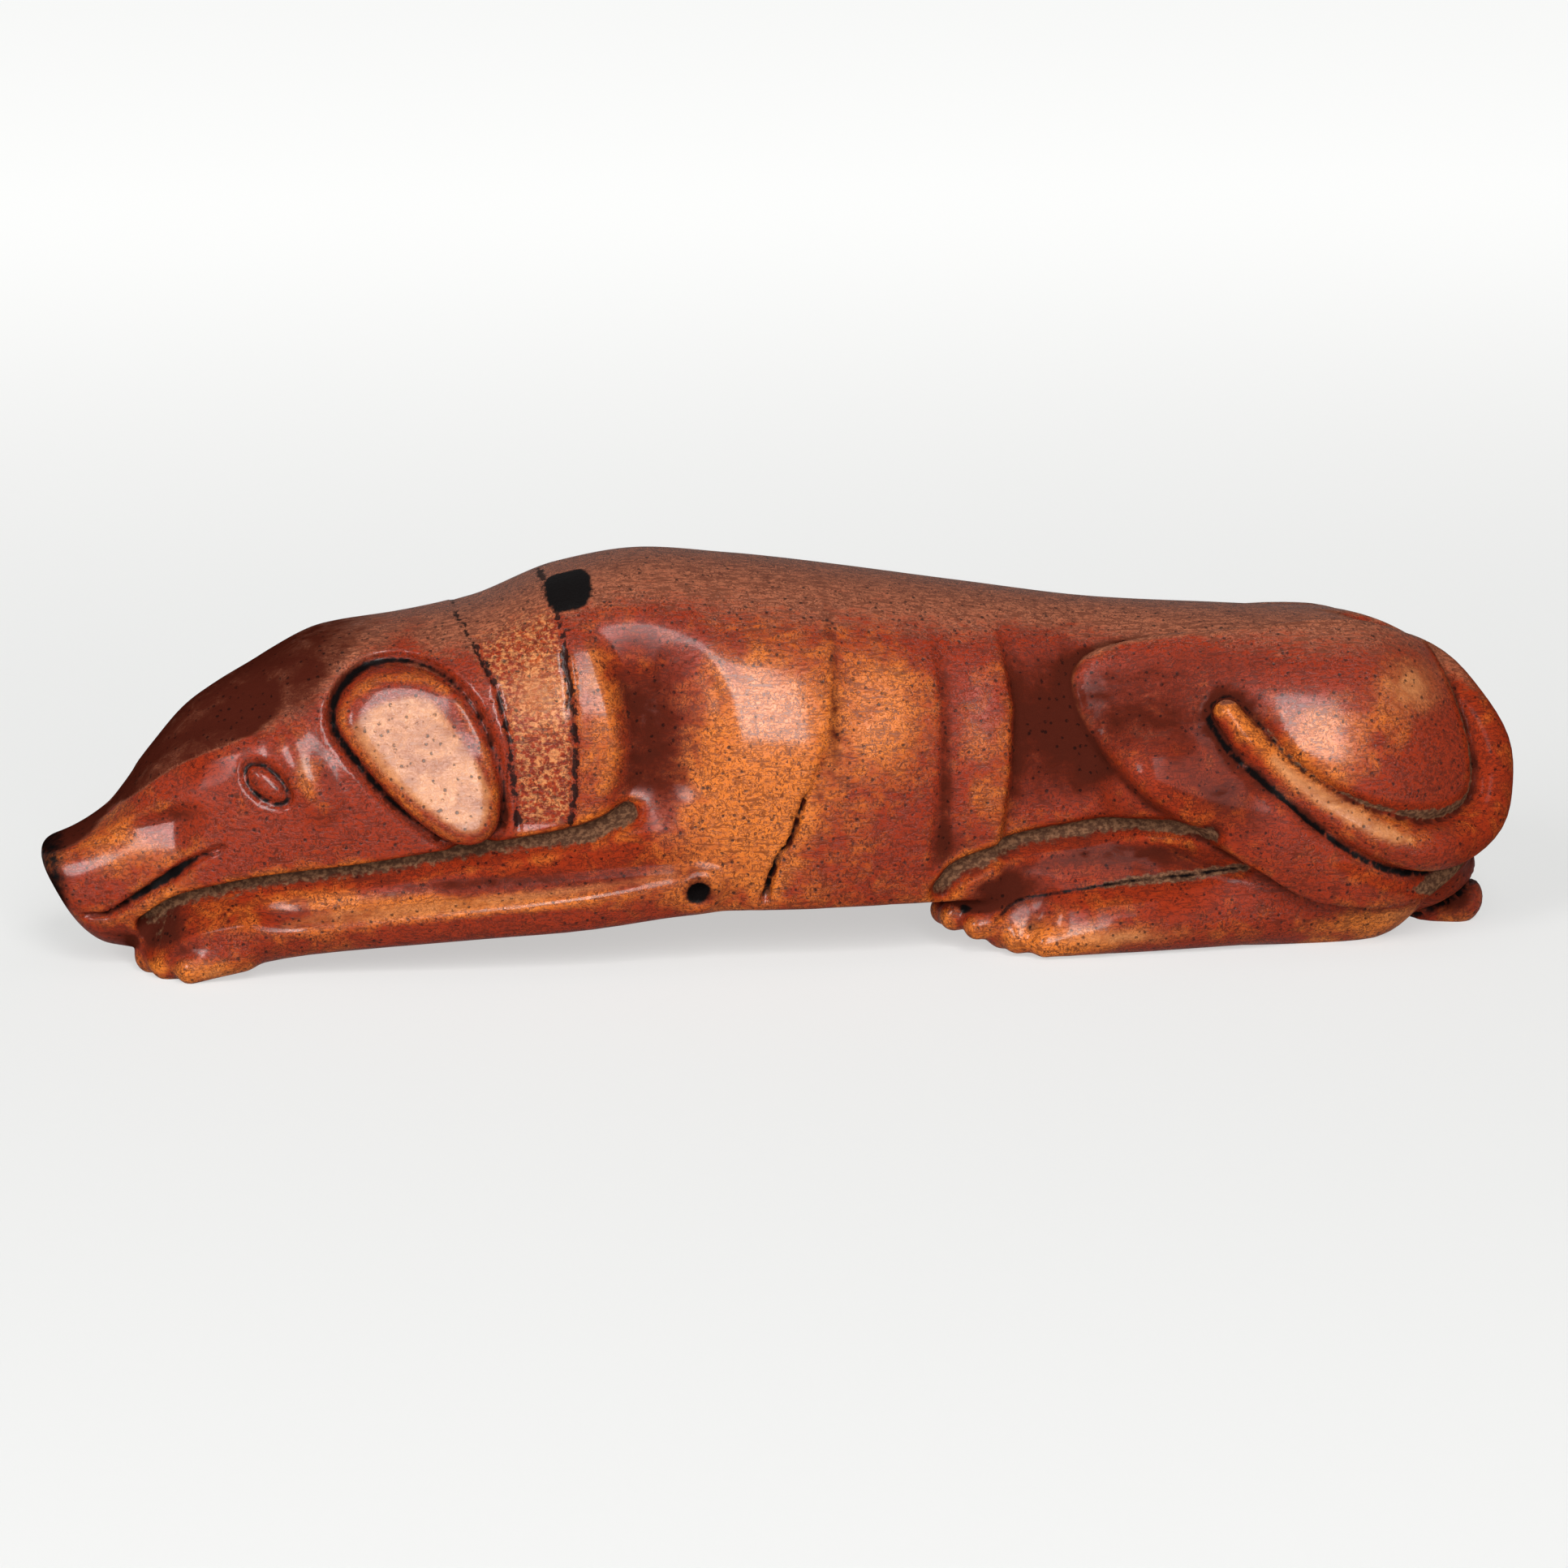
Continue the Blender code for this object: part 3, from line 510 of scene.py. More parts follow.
@dataclass(frozen=True)
class StainsAndPaintedLight:
    """Where the wood is golden, dark or dull, and where highlights and shade are painted on it.

    A soft patch is a row of x, z, its radii along them and its strength. The patches named for the side
    go by the height on the trunk's skin, and the low ones by the height above the floor.
    """

    # Golden worn wood, and painted highlights on the shoulder, the crescent behind the collar, the haunch,
    # the muzzle, the collar and the temple
    side_gold_and_highlight: Rows = (
        (-3.5, 14, 5.5, 9, 1.1), (-0.5, 21, 5.5, 5.5, 0.8), (7.5, 20, 3.2, 6, 0.95),
        (15, 17, 1.8, 7, 0.45), (-14.8, 20, 1.5, 6, 0.6), (42.5, 16.5, 3.5, 2.5, 1),
        (49.5, 19, 2.5, 2.5, 0.5), (-51.5, 10.4, 4, 2.3, 0.8), (-19.5, 22, 2.4, 4, 0.5),
        (-37.8, 16.2, 1, 1.8, 0.5),
    )
    # Painted highlights along the foreleg and on the toes, and the worn golden chip at the near heel
    low_gold_and_highlight: Rows = (
        (-29, 6.2, 11, 0.8, 1.1), (21, 1.7, 4, 1.6, 1.1), (47.5, 1.8, 4.5, 1.2, 1.1),
        (-46, 1, 2.6, 0.9, 0.8), (-50, 1, 1.2, 0.6, 0.6), (28, 1.6, 6, 1, 0.3),
    )
    # Painted shade on the sides, in the neck's valley, on the flank and the thigh's front, behind the rib
    # lines and above the tail
    side_shade: Rows = (
        (-10.5, 20, 3.4, 9, 0.65), (21.5, 19, 4.6, 7.5, 0.75), (30, 18, 7, 6, 0.55),
        (-36.5, 18, 1.6, 5, 0.35), (12.6, 13, 0.7, 12, 0.5), (3.6, 22, 0.7, 8, 0.5),
        (38, 21.5, 7, 2.5, 0.25), (14, 9, 3, 2, 0.4), (-2, 27, 8, 2, 0.3),
    )
    # Painted shade low down, under the chin, the tail and the foreleg and between the feet; the patches at
    # the nose's end, the knot and the dusty patch above the fore paw are the wood's own dark
    low_shade: Rows = (
        (26, 8, 8, 1.7, 0.6), (17, 5.5, 3.5, 2.2, 0.95), (-49.5, 4.2, 2.6, 1.8, 1),
        (-30, 7.8, 13, 0.7, 0.5), (56.5, 1.5, 2.5, 2.2, 0.9), (-58, 6, 2.2, 3, 0.7),
        (-54, 2.5, 5, 1.6, 0.5), (57.5, 6, 3, 2.4, 0.6), (-58.6, 7, 1.6, 3, 0.8),
        (-7.3, 6.9, 2.4, 1.8, 0.7), (35, 12.5, 4.5, 3.2, 0.55), (-19, 8.6, 9, 1, 0.15),
    )
    side_dry: Rows = (
        (33.5, 14.5, 6.5, 4.5, 1.2), (-12, 25, 3.5, 2.6, 1.1), (-12.5, 12, 2, 1.6, 1.2),
        (-46, 17, 3, 2, 0.9),
    )
    low_dry: Rows = (
        (-18, 9, 12, 1.7, 1.3), (25, 7.8, 9, 1.8, 1.3), (28, 4.6, 8, 1.5, 1.1),
        (-42.5, 5.2, 2.5, 1.2, 1), (54, 4, 4, 3, 1),
    )
    # Painted highlights on the near toe, the collar, the haunch, the crescent, the fore paw and the heel
    painted_highlights: Rows = (
        (26.5, 1.9, 3.5, 0.6, 0.9), (-20, 22.8, 1.9, 1.7, 0.55), (50.3, 21.6, 2.4, 1.6, 0.9),
        (-15.4, 23.6, 0.5, 1.6, 0.5), (-45.6, 0.9, 1.3, 0.4, 0.5), (50.3, 2.3, 2, 0.5, 0.4),
    )
    # A painted highlight on the temple
    temple: Rows = ((-38.3, 17.2, 0.45, 0.8, 0.8),)
    # The outline of the ear's flat, painted pale as a highlight
    ear_flat_highlight: Rows = (
        (-34.4, 20.6), (-32, 22.2), (-28.4, 22.5), (-25.9, 19.6), (-23.7, 15.9),
        (-23.8, 13.1), (-25.4, 11.9), (-28.3, 13.4), (-31.9, 16.4), (-34.1, 19.2),
    )
    # Where the painted shade on the top of the head begins, as x, z and how softly
    dark_top: Rows = (
        (-60, 9, 0.4), (-56, 10.4, 0.3), (-52.5, 13.4, 0.15), (-47.7, 17.1, 0.15), (-42.2, 19.4, 0.3),
        (-39.5, 20.6, 1.8), (-35.9, 22.6, 2.6), (-31.9, 25.4, 2.4), (-24.9, 28, 2),
    )
    # Where a highlight is painted along the tail's ridge, as x, z and half width
    tail_glint: Rows = (
        (38.6, 16.6, 0.1), (40.4, 14.9, 0.3), (43.2, 13, 0.45), (47.3, 10.7, 0.4), (49.4, 9.9, 0.1),
    )
    # Where a highlight is painted along the foreleg's arris
    leg_glint: Rows = ((-40, 4.7, 0.05), (-36, 5.2, 0.25), (-28, 6, 0.3), (-20, 6.8, 0.15), (-9, 8.1, 0))
    # The dark patch on the neck, as the x and y of its middle and half its lengths along them
    neck_place: tuple = (-16.8, -5.6)
    neck_half: tuple = (1.8, 3)


@dataclass(frozen=True)
class Hound:
    """The carved hound: its field, and the marks on its skin."""

    trunk: Trunk = Trunk()
    limbs: Limbs = Limbs()
    cuts: Cuts = Cuts()
    stains_and_painted_light: StainsAndPaintedLight = StainsAndPaintedLight()

    def side_relief(self, points: np.ndarray, skin_z: np.ndarray, field: np.ndarray) -> np.ndarray:
        """Cuts the ears, the folds and the ribs into both sides, and raises the thighs.

        Args:
            points: The points to measure.
            skin_z: The heights of their places on the trunk's skin.
            field: How far they lie outside the uncut form.

        Returns:
            How far they lie outside the cut form.
        """
        cuts = self.cuts
        x, y, z = points.T
        middle = self.trunk.middle(x)
        flat = np.column_stack([x, skin_z])
        aside = eased(np.abs(y - middle), 1.5, 4.0)
        near = eased(middle - y, 1.5, 4.0)
        thigh = from_outline(flat, cuts.thigh)
        slab = np.clip(0.6 + 0.115 * (x - 23.0), 0.6, 0.9 + 1.6 * near)
        field = field - aside * slab * eased(-thigh, -0.1, 0.9) * eased(-x, -60.0, -46.0)
        groove = from_curve(flat, cuts.leg_groove)
        field = field + aside * 1.5 * rounded_dip(groove, 2.4)
        groove = from_curve(flat, cuts.belly_groove)
        field = field + near * 1.2 * rounded_dip(groove, 2.6)
        fold = beside(x, skin_z, cuts.fold)
        valley = eased(fold, -1.6, 1.1) * eased(-fold, -9.0, -2.6) * eased(skin_z, 10.5, 16.0)
        field = field + 1.5 * valley * eased(-skin_z, -29.5, -22.0) * aside
        upright = eased(skin_z, 5.0, 9.0) * eased(-skin_z, -27.5, -22.0)
        for line, depth, risen in cuts.ribs:
            behind = beside(x, skin_z, line)
            step = eased(behind, -0.4, 0.5) * eased(-behind, -risen, -0.5)
            field = field + depth * step * upright
        folded = np.column_stack([x, middle - np.abs(y - middle), z])
        ear = from_outline(folded[:, ::2], cuts.ear)
        field = field + aside * 0.6 * rounded_dip(np.abs(ear - 0.3), 1.5)
        plane = (folded - np.array(cuts.ear_point)) @ np.array(cuts.ear_facing)
        pad = shared(np.where(np.abs(y - middle) > 3.0, ear, FAR_AWAY), plane, cuts.ear_round)
        return joined(field, pad, 0.3)

    def fine_cuts(self, points: np.ndarray, skin_z: np.ndarray, field: np.ndarray) -> np.ndarray:
        """Cuts the eye, the mouth, the collar and the cracks.

        Args:
            points: The points to measure.
            skin_z: The heights of their places on the trunk's skin.
            field: How far they lie outside the uncut form.

        Returns:
            How far they lie outside the cut form.
        """
        cuts = self.cuts
        x, y, _ = points.T
        flat = np.column_stack([x, skin_z])
        aside = eased(np.abs(y - self.trunk.middle(x)), 1.0, 2.5)
        near = eased(self.trunk.middle(x) - y, 1.5, 4.0)
        eye = from_outline(flat, cuts.eye)
        field = field + aside * (0.45 * rounded_dip(np.abs(eye - 0.05), 0.9) - 0.25 * eased(-eye, 0.2, 1.0))
        mouth = from_curve(flat, cuts.mouth)
        field = field + aside * 0.6 * rounded_dip(np.clip(mouth + 0.15, 0.0, None), 0.9)
        band = eased(beside(x, skin_z, cuts.collar_front), -0.2, 0.2)
        band = band * eased(-beside(x, skin_z, cuts.collar_rear), -0.2, 0.2)
        height = eased(skin_z, 11.5, 12.5) * eased(-skin_z, -29.0, -25.0)
        field = field + 0.25 * band * height
        for line in (cuts.collar_front, cuts.collar_rear):
            edge = np.abs(beside(x, skin_z, line))
            field = field + 0.25 * rounded_dip(edge, 0.7) * height
        crack = from_curve(flat, cuts.crack)
        field = field + near * 0.7 * rounded_dip(np.clip(crack + 0.1, 0.0, None), 0.7)
        knot = np.hypot(x - cuts.knot[0], skin_z - cuts.knot[1])
        return field + near * (0.8 * rounded_dip(knot, 2.2) - 0.25 * rounded_dip(np.abs(knot - 1.5), 1.6))

    def haunch(self, points: np.ndarray) -> np.ndarray:
        """Gives how far points lie outside the near haunch, longer before its middle than behind.

        Args:
            points: The points to measure, one per row.

        Returns:
            The distances, below zero inside it.
        """
        before, behind, across, up = self.limbs.haunch_radii
        offset = points - np.array(self.limbs.haunch_place)
        stretched = offset.copy()
        stretched[:, 0] *= np.where(offset[:, 0] < 0.0, behind / before, 1.0)
        return egg(stretched, (0.0, 0.0, 0.0), (behind, across, up))

    def foreleg(self, folded: np.ndarray) -> np.ndarray:
        """Gives how far points, folded to the near side, lie outside a foreleg with its long arris.

        Args:
            folded: The points, all brought to the near side.

        Returns:
            The distances, below zero inside it.
        """
        limbs = self.limbs
        leg = np.array(limbs.foreleg)
        leg[:, 3] += 0.5 * eased(leg[:, 0], -44.0, -38.0)
        x, y, z = folded.T
        arris_y, arris_z = along_table(limbs.leg_arris, x).T
        upper = limbs.leg_upper[0] * (y - arris_y) + limbs.leg_upper[1] * (z - arris_z)
        lower = limbs.leg_lower[0] * (y - arris_y) + limbs.leg_lower[1] * (z - arris_z)
        faces = shared(upper, lower, 0.5) - 3.0 * eased(-x, 38.0, 48.0)
        return shared(limb(folded, leg), faces, 0.8)

    def field(self, points: np.ndarray) -> np.ndarray:
        """Gives how far points lie outside the carved hound.

        Args:
            points: The points to measure, one per row.

        Returns:
            The distances, below zero inside it.
        """
        limbs = self.limbs
        x, _, z = points.T
        field, skin_z = self.trunk.field(points)
        field = joined(field, self.haunch(points), limbs.hip_fillet)
        field = joined(field, egg(points, *limbs.far_hip), limbs.hip_fillet)
        middle = self.trunk.middle(x)
        folded = np.column_stack([x, middle - np.abs(points[:, 1] - middle), z])
        muzzle = (folded - np.array(self.cuts.muzzle_point)) @ np.array(self.cuts.muzzle_facing)
        muzzle = muzzle - 6.0 * eased(x, -48.5, -40.5) - 3.0 * eased(z - 0.25 * (x + 51.0), 12.0, 15.0)
        field = shared(field, muzzle, 0.8)
        underside = along_table(self.trunk.underside, x)[:, 0]
        field = shared(field, underside - z, self.trunk.arris)
        for mirror in (tuple, self.trunk.mirrored):
            field = joined(field, limb(points, mirror(limbs.brow)), 1.4)
            field = joined(field, limb(points, mirror(limbs.temple)), 1.4)
        field = joined(field, self.foreleg(folded), limbs.limb_fillet)
        field = joined(field, limb(points, limbs.shin), 1.5)
        field = self.side_relief(points, skin_z, field)
        field = self.fine_cuts(points, skin_z, field)
        for foot, toes in ((limbs.near_foot, limbs.near_toes), (limbs.far_foot, limbs.far_toes)):
            paw = limb(points, foot)
            for toe in toes:
                paw = joined(paw, limb(points, toe), limbs.toe_fillet)
            field = joined(field, paw, limbs.limb_fillet)
        for mirror in (tuple, self.trunk.mirrored):
            for toe in limbs.fore_toes:
                field = joined(field, limb(points, mirror(toe)), limbs.toe_fillet)
        gap = from_curve(points[:, ::2], limbs.heel_gap)
        field = joined(field, egg(points, *limbs.far_end), 0.8)
        field = joined(field, limb(points, limbs.heel), 0.6)
        field = field + 0.9 * rounded_dip(gap, 1.2) * eased(-points[:, 1], -1.0, 1.0)
        tail = limb(points, limbs.tail)
        field = field + (0.25 + 0.5 * eased(x, 36.0, 42.0)) * rounded_dip(np.abs(tail), 2.6)
        return joined(field, tail, 0.4)

    def cuts_near(self, points: np.ndarray) -> np.ndarray:
        """Gives how far points lie from the near side's crisp edges that need a finer skin.

        Args:
            points: The points to measure, one per row.

        Returns:
            The distances, and a very large one away from the near side.
        """
        cuts = self.cuts
        _, skin_z = self.trunk.field(points)
        flat = np.column_stack([points[:, 0], skin_z])
        best = np.abs(limb(points, self.limbs.tail))
        best = np.minimum(best, np.abs(from_outline(flat, cuts.thigh)))
        best = np.minimum(best, from_curve(flat, cuts.crack))
        for line, _, _ in cuts.ribs:
            best = np.minimum(best, np.abs(beside(points[:, 0], skin_z, line)) + 0.3)
        return np.where(points[:, 1] < -3.0, best, FAR_AWAY)

    def toe_gaps(self, points: np.ndarray, toes: tuple) -> np.ndarray:
        """Measures how far points lie from the cuts between neighbouring toes.

        Args:
            points: The points to measure, one per row.
            toes: The paw's toes in order, each as two rows.

        Returns:
            The distances.
        """
        best = np.full(len(points), FAR_AWAY)
        for first, second in zip(toes[:-1], toes[1:]):
            line = (np.array(first) + np.array(second)) / 2
            line[:, 3] = 0.0
            line[:, 2] += 0.9
            best = np.minimum(best, limb(points, line, samples=1))
        return best

    def marks(self, points: np.ndarray, normals: np.ndarray, bend: np.ndarray) -> dict[Mark, np.ndarray]:
        """Works out the marks on the skin, its painted light and shade among them.

        Args:
            points: The skin's points.
            normals: Their outward normals.
            bend: How sharply the skin bends at each, above zero where it bulges.

        Returns:
            A value for each mark at each point. Lines are kept as millimetres inside their edge.
        """
        cuts, limbs, stains_and_painted_light = self.cuts, self.limbs, self.stains_and_painted_light
        x, y, z = points.T
        _, skin_z = self.trunk.field(points)
        middle = self.trunk.middle(x)
        near = middle - y > 0.0
        flat = np.column_stack([x, skin_z])
        folded = np.column_stack([x, middle - np.abs(y - middle), z])
        ear = from_outline(folded[:, ::2], cuts.ear)
        tail = limb(points, limbs.tail)
        # Above the tail's middle line, where it meets the thigh
        tail_x, _, tail_z, _ = np.array(limbs.tail)[:5:-1].T
        inner = (z > np.interp(x, tail_x, tail_z)) & (x < 57.2)
        leg_groove = from_curve(flat, cuts.leg_groove)
        belly_groove = from_curve(flat, cuts.belly_groove)
        foot_line = from_curve(points[:, ::2], cuts.foot_line)
        heel_gap = from_curve(points[:, ::2], limbs.heel_gap)

        eye = np.abs(from_outline(flat, cuts.eye))
        knot = np.hypot(x - cuts.knot[0], skin_z - cuts.knot[1])
        beside_tail = near & (tail < 2.0)
        paws = (limbs.near_toes, limbs.far_toes, limbs.fore_toes)
        # Dark lines: the mouth, eye and ear cuts, the crack and the knot, and painted shade in the gaps
        # between toes and feet and along the tail's edges where it lies on the thigh
        ink_and_shade = largest(
            0.13 + 0.13 * eased(-x, 29.0, 33.0) - np.abs(ear - 0.25),
            0.2 - eye,
            -from_curve(flat, cuts.mouth),
            only(near, -from_curve(flat, cuts.crack)),
            only(beside_tail & ~inner, 0.28 - np.abs(tail - 0.42)),
            only(beside_tail & (x < 44.0), 0.12 - np.abs(tail - 0.3)),
            only(near & (y < -4.0), 0.14 - foot_line),
            only(near & (x > 52.5), 0.3 - heel_gap),
            only(near, 1.0 - knot),
            *(0.6 - self.toe_gaps(points, toes) for toes in paws),
        )

        behind_front = beside(x, skin_z, cuts.collar_front)
        behind_rear = beside(x, skin_z, cuts.collar_rear)
        collar = np.minimum(np.abs(behind_front), np.abs(behind_rear))
        broken = np.maximum(only(skin_z > 12.0, 0.28 - collar), only(near, 0.06 - np.abs(knot - 1.5)))
        band = eased(behind_front, 0.1, 0.6) * eased(-behind_rear, 0.1, 0.6) * eased(skin_z, 12.0, 13.0)

        wide = 0.22 + 0.38 * eased(x, 44.0, 53.0)
        wax = largest(
            0.62 + 0.3 * eased(x, -22.0, -15.0) - leg_groove,
            only(near, 0.75 - belly_groove),
            only(near & inner & (x > 38.0), wide - np.abs(tail - 0.2 - wide)),
            only(near & (y < -4.0), 0.55 * eased(x, 20.0, 30.0) - foot_line - 0.05),
            only(near & ~inner & (z < 8.0), 1.4 * eased(x, 49.0, 54.0) - np.abs(tail - 1.6)),
        )
        wax = np.where(near & (tail < 0.1), 0.7 * eased(x, 51.0, 55.5) - 1.0, wax)
        dry = blobs(x, skin_z, stains_and_painted_light.side_dry) + blobs(x, z, stains_and_painted_light.low_dry)
        wax = np.maximum(wax, 0.7 * np.clip(dry, 0.0, 1.0) - 1.0)

        # Painted shade on the top of the head, softer towards the ear
        edge, softness = along_table(stains_and_painted_light.dark_top, x).T
        dark_top = eased((z - edge) / softness, -1.0, 1.0) * eased(-x, 24.0, 30.0)
        # Patina with a painted sheen on the faces that look up
        upward = eased(normals[:, 2], 0.5, 0.95) * eased(z, 12.0, 19.0) * eased(x, -34.0, -26.0)
        patina_sheen_and_shade = np.maximum(upward, dark_top) * (ear > 0.0)
        # Golden worn wood with painted highlights; the top of the tail gets a painted highlight, and the
        # ear's rim is golden
        gold_and_highlight = blobs(x, skin_z, stains_and_painted_light.side_gold_and_highlight) + blobs(x, z, stains_and_painted_light.low_gold_and_highlight)
        tail_top_highlight = eased(-np.abs(tail), -0.6, 0.0) * eased(normals[:, 2], -0.2, 0.5)
        gold_and_highlight = gold_and_highlight + 0.6 * tail_top_highlight * near * eased(-x, -54.0, -48.0)
        gold_and_highlight = gold_and_highlight + 0.6 * eased(-np.abs(ear + 0.6), -0.8, 0.0)
        # Painted shade: the shade patches and the shaded top of the head
        shade = blobs(x, skin_z, stains_and_painted_light.side_shade) + blobs(x, z, stains_and_painted_light.low_shade)
        shade = shade + 0.85 * dark_top * eased(-x, 24.0, 40.0)

        # Painted highlights on the ear's flat, the temple, the tail's ridge, the foreleg's arris, the
        # thigh's rim and small spots
        ear_flat_highlight = from_outline(folded[:, ::2], stains_and_painted_light.ear_flat_highlight)
        thigh = from_outline(flat, cuts.thigh)
        pale = eased(-ear_flat_highlight, -0.1, 0.5) + blobs(x, skin_z, stains_and_painted_light.temple)
        glint = from_curve(points[:, ::2], stains_and_painted_light.tail_glint)
        pale = pale + near * (y < -12.0) * eased(-glint, -0.6, 0.2)
        glint = from_curve(points[:, ::2], stains_and_painted_light.leg_glint)
        pale = pale + 0.6 * near * (y < -10.0) * eased(-glint, -0.4, 0.2)
        # A painted highlight along the thigh's upper rim
        rim = eased(0.35 - np.abs(thigh + 0.3), 0.0, 0.25)
        rim = rim * eased(-x, -40.0, -32.0) * eased(skin_z, 17.0, 20.0)
        pale = pale + near * (0.55 * rim + blobs(x, z, stains_and_painted_light.painted_highlights))

        offset = np.abs(points[:, :2] - np.array(stains_and_painted_light.neck_place)) / np.array(stains_and_painted_light.neck_half)
        patch = (offset**4).sum(axis=1)
        # Painted shade at the far heel's low back
        heel = eased(x, 52.0, 55.0) * eased(-z, -4.5, -3.0) * (y > -4.0)
        black_and_shade = 1.2 * eased(1.5 - patch, 0.0, 1.2) * (z > 24.0) + 0.7 * eased(-x, 55.5, 58.0) + 0.6 * heel
        plain = eased(ear, 1.0, 2.0) * eased(eye, 1.0, 1.6)
        return {
            Mark.INK_AND_SHADE: np.clip(ink_and_shade, -1.0, 1.0),
            Mark.BROKEN: np.clip(broken, -1.0, 1.0),
            Mark.WAX: np.clip(wax, -1.0, 1.0),
            # Painted shade: darker where the skin bends in, and in the shade patches
            Mark.PAINTED_SHADE_AND_STAIN: np.clip(shade - bend, 0.0, 1.0),
            # Worn edges, partly painted highlight, where the skin bulges
            Mark.WEAR_AND_HIGHLIGHT: np.clip(bend, 0.0, 1.0) * plain,
            Mark.PATINA_SHEEN_AND_SHADE: patina_sheen_and_shade,
            Mark.GOLD_AND_HIGHLIGHT: np.clip(gold_and_highlight, 0.0, 1.0),
            Mark.PALE_HIGHLIGHT: np.clip(pale, 0.0, 1.0),
            Mark.BLACK_AND_SHADE: np.clip(black_and_shade, 0.0, 1.0),
            Mark.BAND: band,
            Mark.INSIDE: eased(-self.field(points), 0.25, 0.5),
        }


@dataclass(frozen=True)
class Carver:
    """Carves a field's solid from a block, on finer and finer grids."""

    low: tuple = (-62.0, -18.0, -1.0)
    high: tuple = (62.5, 17.0, 33.0)
    # Each grid's size, how often its skin is evened out and how often it is then drawn in
    grids: tuple = ((3.0, 3, 3), (2.0, 3, 3), (1.2, 3, 2), (0.75, 2, 2), (0.55, 2, 2))
    nudge: float = 0.02

    def steepest_ways(self, points: np.ndarray, field: Field) -> np.ndarray:
        """Gives unit directions in which the field grows fastest.

        Args:
            points: The points to start from.
            field: How far points lie outside the solid.

        Returns:
            One direction for each point.
        """
        here = field(points)
        ways = np.empty_like(points)
        for axis in range(3):
            shifted = points.copy()
            shifted[:, axis] += self.nudge
            ways[:, axis] = field(shifted) - here
        return ways / np.maximum(np.linalg.norm(ways, axis=1), 1e-9)[:, None]

    def draw_in(self, mesh: bpy.types.Mesh, field: Field, longest: float, keeps_even: bool) -> None:
        """Moves the skin's points to the field's surface.

        Args:
            mesh: The skin.
            field: How far points lie outside the solid.
            longest: The longest move.
            keeps_even: Whether points move along the skin's normals instead of straight there.
        """
        points, normals = mesh_points(mesh)
        ways = normals if keeps_even else self.steepest_ways(points, field)
        here = field(points)
        steepness = (field(points + self.nudge * ways) - here) / self.nudge
        move = np.clip(-here / np.maximum(steepness, 0.4), -longest, longest)
        mesh.vertices.foreach_set("co", (points + move[:, None] * ways).astype(np.float32).ravel())
        mesh.update()

    def refine(self, mesh: bpy.types.Mesh, wanted: np.ndarray) -> None:
        """Splits the faces whose points are wanted finer, each into four, and those at their edge to fit.

        Args:
            mesh: The skin.
            wanted: Which of its points are wanted finer.
        """
        skin = bmesh.new()
        skin.from_mesh(mesh)
        skin.verts.ensure_lookup_table()
        chosen = [e for e in skin.edges if wanted[e.verts[0].index] and wanted[e.verts[1].index]]
        bmesh.ops.subdivide_edges(skin, edges=chosen, cuts=1, use_grid_fill=True)
        bmesh.ops.triangulate(skin, faces=[f for f in skin.faces if len(f.verts) > 4])
        skin.to_mesh(mesh)
        skin.free()

    def carve(self, field: Field) -> bpy.types.Mesh:
        """Gives the field's solid as a closed mesh.

        Args:
            field: How far points lie outside the solid.

        Returns:
            The mesh.
        """
        block = bmesh.new()
        size = [b - a for a, b in zip(self.low, self.high)]
        middle = [(a + b) / 2 for a, b in zip(self.low, self.high)]
        bmesh.ops.create_cube(block, size=1.0, matrix=Matrix.Diagonal((*size, 1.0)))
        bmesh.ops.translate(block, verts=block.verts, vec=middle)
        mesh = bpy.data.meshes.new("skin")
        block.to_mesh(mesh)
        block.free()
        for grid, smoothings, steps in self.grids:
            mesh = regridded(mesh, grid)
            for _ in range(smoothings):
                smooth_skin(mesh)
                for _ in range(steps):
                    self.draw_in(mesh, field, grid, keeps_even=grid < 1.0)
            log.info("grid %.2f mm: %d points", grid, len(mesh.vertices))
        return mesh


def mesh_points(mesh: bpy.types.Mesh) -> tuple[np.ndarray, np.ndarray]:
    """Gives a mesh's points and their normals.

    Args:
        mesh: The mesh.

    Returns:
        The points and the normals, one per row.
    """
    values = np.empty(len(mesh.vertices) * 3, np.float32)
    mesh.vertices.foreach_get("co", values)
    points = values.reshape(-1, 3).astype(float)
    mesh.vertex_normals.foreach_get("vector", values)
    return points, values.reshape(-1, 3).astype(float)


def smooth_skin(mesh: bpy.types.Mesh) -> None:
    """Evens out the skin, so that its points spread before they are drawn in.

    Args:
        mesh: The skin.
    """
    skin = bmesh.new()
    skin.from_mesh(mesh)
    axes = {f"use_axis_{axis}": True for axis in "xyz"}
    bmesh.ops.smooth_vert(skin, verts=skin.verts, factor=0.5, **axes)
    skin.to_mesh(mesh)
    skin.free()


def evaluated_copy(mesh: bpy.types.Mesh, add_modifiers: Dresser) -> bpy.types.Mesh:
    """Gives the mesh that comes out of the modifiers which add_modifiers puts on it.

    Args:
        mesh: The mesh to start from.
        add_modifiers: Puts the modifiers on the object that it is given.

    Returns:
        The new mesh.
    """
    holder = bpy.data.objects.new("blank", mesh)
    bpy.context.scene.collection.objects.link(holder)
    add_modifiers(holder)
    graph = bpy.context.evaluated_depsgraph_get()
    result = bpy.data.meshes.new_from_object(holder.evaluated_get(graph))
    bpy.data.objects.remove(holder)
    return result


